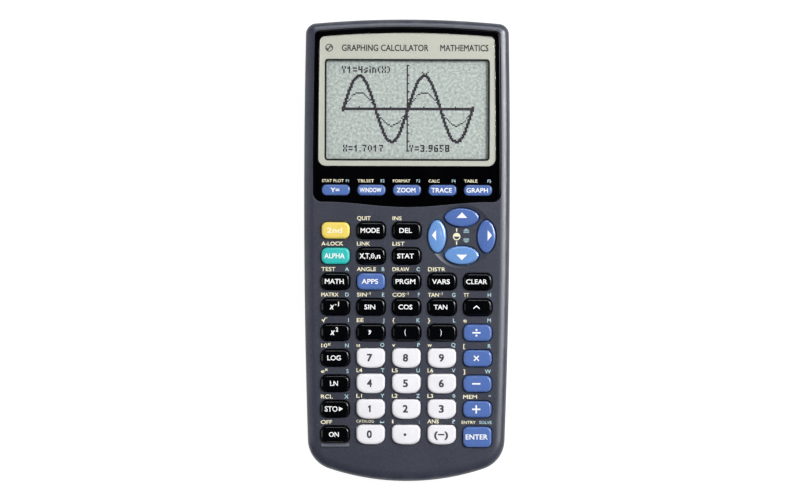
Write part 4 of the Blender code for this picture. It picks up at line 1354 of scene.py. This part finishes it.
def build_window():
    """The clear window, with a pale border and a dark line printed on its back."""
    top, back, half = lens_high.z, lens_low.z, WINDOW_LINE / 2
    sides = ((0.02, back + 0.2), (0.02, top - 0.16), (0.07, top - 0.05), (0.18, top), (0.9, top))
    bm = drawn(stack, lens_outline, sides)
    piece("window_pane", bm, "lens", "lens_clear", "display_window", sharp=25)

    bm = drawn(prism, lens_outline(0.06), back, PRINT_Z)
    opening = cut(prism, window_outline(-half), back - 1, back + 1)
    piece("window_border", bm, "border", "lens_clear", steps=[opening])

    bm = drawn(prism, window_outline(-half - 0.1), back - 0.05, back + 0.14)
    hole = cut(prism, window_outline(half), back - 1, back + 1)
    piece("window_line", bm, "line", "lens_clear", steps=[hole])


def build_heading():
    """Plain words over the display, and a small wave-in-a-ring mark."""
    cap, weight, y = 2.45, 0.024, 81.0
    centre = Vector((-31.3, y))
    wave = [centre + Vector((0.1 * i, 0.75 * sin(i * pi / 10))) for i in range(-10, 11)]
    shapes = [
        shift(lettering("GRAPHING CALCULATOR", cap, 34.6, weight), -26.2, y - cap / 2),
        shift(lettering("MATHEMATICS", cap, 19.2, weight), 13.2, y - cap / 2),
        flat_shape(ring_outline(centre, 1.55, 0.34), stroke(wave, 0.42)),
    ]
    bm = merged([lay(shape, level(PRINT_Z), 0.025) for shape in shapes])
    piece("window_words", bm, "black_ink", "lens_clear", sharp=20)


# The display's small type: each letter's five rows of dots, from the top.
GLYPHS = table(
    """
    Y 101 101 010 010 010
    1 010 110 010 010 010
    = 000 111 000 111 000
    4 101 101 111 001 001
    s 000 011 100 011 110
    i 1 0 1 1 1
    n 000 110 101 101 101
    ( 01 10 10 10 01
    ) 10 01 01 01 10
    X 101 101 010 101 101
    . 0 0 0 0 1
    7 111 001 010 010 010
    0 010 101 101 101 010
    3 111 001 011 001 111
    9 111 101 111 001 110
    6 011 100 111 101 111
    5 111 100 110 001 110
    8 111 101 111 101 111
    """
)
GLYPHS = {letter: rows for letter, *rows in GLYPHS}


def write_dots(dots, text, column, row):
    """Adds the dots of a line of text, whose upper left corner is at a column and row."""
    for letter in text:
        lines = GLYPHS[letter]
        for y, line in enumerate(lines, row):
            dots.update((x, y) for x, mark in enumerate(line, column) if mark == "1")
        column += len(lines[0]) + 1


def wave_row(column, height):
    return round(31.6 - height * sin((column - 47.5) * tau / 47))


def display_dots():
    """The dots that are dark: axes, a thick and a thin sine wave, a trace cross and three labels."""
    dots = set()
    for column in range(95):
        dots.update(((column, 31), (column, 32), (column, wave_row(column, 12))))
        thick, after = wave_row(column, 24), wave_row(column + 1, 24)
        for row in range(min(thick, after), max(thick, after) + 1):
            dots.update(((column, row), (column + 1, row)))
        if abs(after - thick) < 2:
            dots.add((column, thick - 1))
    dots.update((column, 30) for column in (12, 35, 59, 82, 94))
    dots.update((47, row) for row in range(63))
    dots.update((48, round(31 + tick * 6.1)) for tick in range(-5, 6))
    for reach in (-2, -1, 1, 2):
        dots.update(((60 + reach, 7 + reach), (60 + reach, 7 - reach)))
    write_dots(dots, "Y1=4sin(X)", 0, 1)
    write_dots(dots, "X=1.7017", 1, 58)
    write_dots(dots, "Y=3.9658", 49, 58)
    return sorted((c, r) for c, r in dots if 0 <= c < DOT_COLUMNS and 0 <= r < DOT_ROWS)


def build_panel():
    """The glass of the display and the dark dots on it."""
    top = panel_high.z
    wide, high = around(0, WINDOW_WIDTH / 2 + 0.7), around(DISPLAY_Y, WINDOW_HEIGHT / 2 + 0.7)
    bm = drawn(block, wide, high, (DISPLAY_FLOOR_Z - 1, top - 0.02), 0.12)
    carrier = join(block, around(0, 36), around(DISPLAY_Y, 25.4), (15.4, DISPLAY_FLOOR_Z - 0.3), 0.2)
    piece("lcd_glass", bm, "film", "lcd_glass", "lcd_panel", steps=[carrier])

    bm = bmesh.new()
    for column, row in display_dots():
        x, y = DOTS_LEFT + (column + 0.5) * DOT_PITCH, DOTS_TOP_Y - (row + 0.5) * DOT_PITCH
        block(bm, around(x, DOT_SIZE / 2), around(y, DOT_SIZE / 2), (top - 0.06, top))
    piece("lcd_dots", bm, "dots", "lcd_glass")


# Inside


def draw_domes(bm):
    for key in keys.values():
        radius, travel = (1.9, 0.8) if key.is_function else (3.0, 1.0)
        top = key.flange_z - travel - 0.3
        profile = [(radius, 13.5), (radius, 13.95), (radius * 0.92, 14.1)]
        profile += [(radius * 0.8, top - 0.5), (radius * 0.8, top - 0.12), (radius * 0.74, top)]
        turned(bm, profile, 28, standing(key.x, key.y))


def build_mat():
    """The rubber mat: a soft-edged sheet with a collapsing dome under each key."""
    sheet = inset_rectangle(*SHEET_SIZE, 2.0, SHEET_Y)
    bm = drawn(soft_prism, sheet, *MAT_Z, 0.2)
    piece("rubber_mat", bm, "rubber", "mat_rubber", "keypad_mat", steps=[join(draw_domes)])


def build_board():
    """The circuit board with its contact pads, chips and the link socket."""
    tail = join(block, (-8, 8), (-87.0, -77.2), (11.1, 12.5))
    bm = drawn(prism, inset_rectangle(*SHEET_SIZE, 1.5, SHEET_Y)(), *BOARD_Z)
    piece("board", bm, "board", "board_green", "circuit_board", steps=[tail])

    bm = bmesh.new()
    underside = BOARD_Z[0] - 0.03
    places = ((0, -20, 20, 20), (-20, -18, 12, 18), (20, -22, 9, 14), (-14, -46, 8, 4), (12, -48, 5, 9))
    for x, y, wide, high in places:
        block(bm, around(x, wide / 2), around(y, high / 2), (9.2, underside), 0.25)
    block(bm, around(0, 4), (-88.4, -77.0), (4.5, underside), 0.3)
    piece("board_chips", bm, "chip", "board_green")

    bm = bmesh.new()
    for key in keys.values():
        prism(bm, moved(circle(1.8 if key.is_function else 2.6, 32), key.x, key.y), 12.58, 12.66)
        prism(bm, moved(circle(0.5, 20), key.x, key.y), 12.67, 12.72)
    piece("board_pads", bm, "nickel", "board_green")

    end = -LENGTH / 2
    profile = [(1.75, -86.5), (2.5, -86.6), (2.5, end + 1.15), (2.3, end + 0.9), (1.6, end + 0.9)]
    profile += [(1.35, end + 1.15), (1.27, end + 1.7), (1.27, -87.8), (0.9, -87.6)]
    socket = drawn(turned, profile, 48, lying(0, PORT_Z))
    piece("link_socket", socket, "nickel", "board_green")


def build_cells():
    """Four cells, head to tail, with sprung and plain contacts."""
    body = [(4.6, 0.35), (4.95, 0.3), (5.15, 0.5), (CELL_RADIUS, 0.9), (CELL_RADIUS, 42.2)]
    body += [(5.12, 42.6), (4.9, 42.85), (4.6, 42.95)]
    tip = [(3.6, 42.9), (3.4, 43.2), (2.1, 43.25), (1.9, 43.4), (1.9, 44.3), (1.7, 44.5)]
    base = [(4.5, 0.4), (4.4, 0.12), (3.9, 0.03), (3.4, 0.08), (3.2, 0.2)]
    ends = bmesh.new()
    for name, offset, start, way, *nodes in (
        ("cells_inner", INNER_CELL_X, CELL_LOW_Y, 1, "cell_pair_left", "cell_pair_right"),
        ("cells_outer", OUTER_CELL_X, CELL_LOW_Y + CELL_LENGTH, -1),
    ):
        bm = bmesh.new()
        for x in (-offset, offset):
            for part, profile, steps in ((bm, body, 64), (ends, tip, 48), (ends, base, 48)):
                turned(part, [(r, start + way * y) for r, y in profile], steps, lying(x, CELL_Z))
        materials[name] = jacket(start, start + way * CELL_LENGTH)
        piece(name, bm, name, "cell_jacket", *nodes)
    piece("cell_ends", ends, "nickel", "cell_jacket")

    bm = bmesh.new()
    for side in (-1, 1):
        inner, outer = side * INNER_CELL_X, side * OUTER_CELL_X
        block(bm, around(inner, 3.6), (29.02, 29.3), (4.6, 11.6), 0.1)
        block(bm, around(outer, 3.0), (34.02, 34.3), (5.0, 11.0), 0.1)
        turned(bm, [(2.6, 34.2), (2.2, 34.5), (1.2, 34.58)], 32, lying(outer, CELL_Z))
        block(bm, around(side * 11.2, 8.6), (82.7, 82.98), (4.6, 11.6), 0.1)
        cup = [(1.6, 79.14), (2.4, 79.3), (3.2, 80.2), (3.4, 82.8)]
        turned(bm, cup, 32, lying(inner, CELL_Z))
    for x, start, stop in ((INNER_CELL_X, 29.3, 34.5), (OUTER_CELL_X, 82.7, 79.2)):
        draw_coil(bm, -x, start, stop)
        draw_coil(bm, x, start, stop)
    piece("battery_contacts", bm, "nickel", "cell_jacket", sharp=40)


def draw_coil(bm, x, start, stop):
    """A conical coil spring along Y, which runs from its wall to its cell and narrows on the way."""
    turns, steps, wire = 4.5, 110, 0.22
    rings = []
    for share in (i / steps for i in range(steps + 1)):
        out = Matrix.Rotation(-share * turns * tau, 3, "Y") @ Vector((1, 0, 0))
        centre = Vector((x, start + (stop - start) * share, CELL_Z)) + out * (3.3 - 1.5 * share)
        rings.append([centre + wire * (out * p.x + Vector((0, p.y, 0))) for p in circle(1, 8)])
    loft(bm, rings)


# Studio


def floor_material():
    """A pale, very slightly uneven paper sweep, which is clear when it is seen from below."""
    n = material_nodes("floor_paper")
    tone = n.mix(n.waver(n.noise(90, 3.0)), (0.20, 0.20, 0.20), (0.22, 0.22, 0.22))
    n.set(base_color=tone, roughness=0.9)
    n.set(specular_ior_level=0.1, emission_color=(1, 1, 1), emission_strength=0.92)
    n.bump(n.noise(1.5, 2.0), 0.01)
    from_below = n.math("LESS_THAN", n.geometry_z("Incoming"), 0.0)
    n.show_mixed(from_below, n.shader.outputs[0], n.new("BsdfTransparent").outputs[0])
    return n.owner


def build_floor():
    bm = drawn(soft_prism, lambda inset: circle(2500 - inset, 96), -8, 0, 3)
    floor = add_object("floor", mesh_from(bm, "floor"))
    floor.data.shade_smooth()
    floor.data.set_sharp_from_angle(angle=radians(40))
    floor.data.materials.append(floor_material())


def area_light(name, place, target, size, watts):
    """A rectangular light in metres, facing a point."""
    data = bpy.data.lights.new(name, "AREA")
    data.shape, data.energy = "RECTANGLE", watts
    data.size, data.size_y = size
    light = add_object(name, data)
    light.location = place
    light.rotation_mode = "QUATERNION"
    light.rotation_quaternion = (Vector(target) - Vector(place)).to_track_quat("-Z", "Y")
    return light


def build_lights():
    """A broad key light on the right and a pale room, with softboxes that only reflections see.

    The strip draws the right-hand rim, the top box the edges that face the display end, and the
    fill the left-hand rim. For reflections the room is dark, and a little paler low on the right.
    """
    key = area_light("key", (0.60, 0.34, 0.95), (0, 0, 0.01), (0.5, 0.5), 9.8)
    key.visible_glossy = False
    for name, *settings in (
        ("strip", (0.74, 0.32, 0.72), (0.04, 0.30, 0.02), (0.60, 0.50), 27),
        ("top", (0.1, 0.90, 0.66), (0, 0, 0.02), (0.8, 0.3), 6),
        ("fill", (-1.0, 0.0, 0.30), (-0.04, 0, 0.02), (0.4, 1.6), 2.4),
    ):
        area_light(name, *settings).visible_diffuse = False
    world = bpy.data.worlds.new("studio")
    bpy.context.scene.world = world
    n = Nodes(world, "Background")
    rays = n.new("LightPath").outputs
    side = n.ramp(n.axis(n.coordinates["Generated"], "X"), 0.3, 0.9, 0.02, 0.16)
    mirror = n.mix(rays["Is Glossy Ray"], 0.56, side, kind="FLOAT")
    n.set(color=(1, 1, 1), strength=n.mix(rays["Is Camera Ray"], mirror, 1.0, kind="FLOAT"))


def build_camera():
    """A long lens straight above the face, turned a hair about its own axis."""
    data = bpy.data.cameras.new("camera")
    data.lens, data.sensor_width = 200, 36
    data.clip_start, data.clip_end = 0.1, 10
    camera = add_object("camera", data)
    camera.location = Vector((-2.72, 0.1, FACE_Z + 1778.2)) * MM
    camera.rotation_euler.z = 0.003
    bpy.context.scene.camera = camera


def main():
    build_front_case()
    build_on_key_guard()
    build_rear_case()
    build_feet()
    build_battery_door()
    build_screws()
    build_bezel()
    build_window()
    build_heading()
    build_panel()
    build_mat()
    build_board()
    build_cells()
    for key in keys.values():
        build_key_legend(key, build_keycap(key))
    build_upper_legends()
    build_contrast_marks()
    build_floor()
    build_lights()
    build_camera()
    bpy.context.scene.view_settings.view_transform = "Standard"


main()
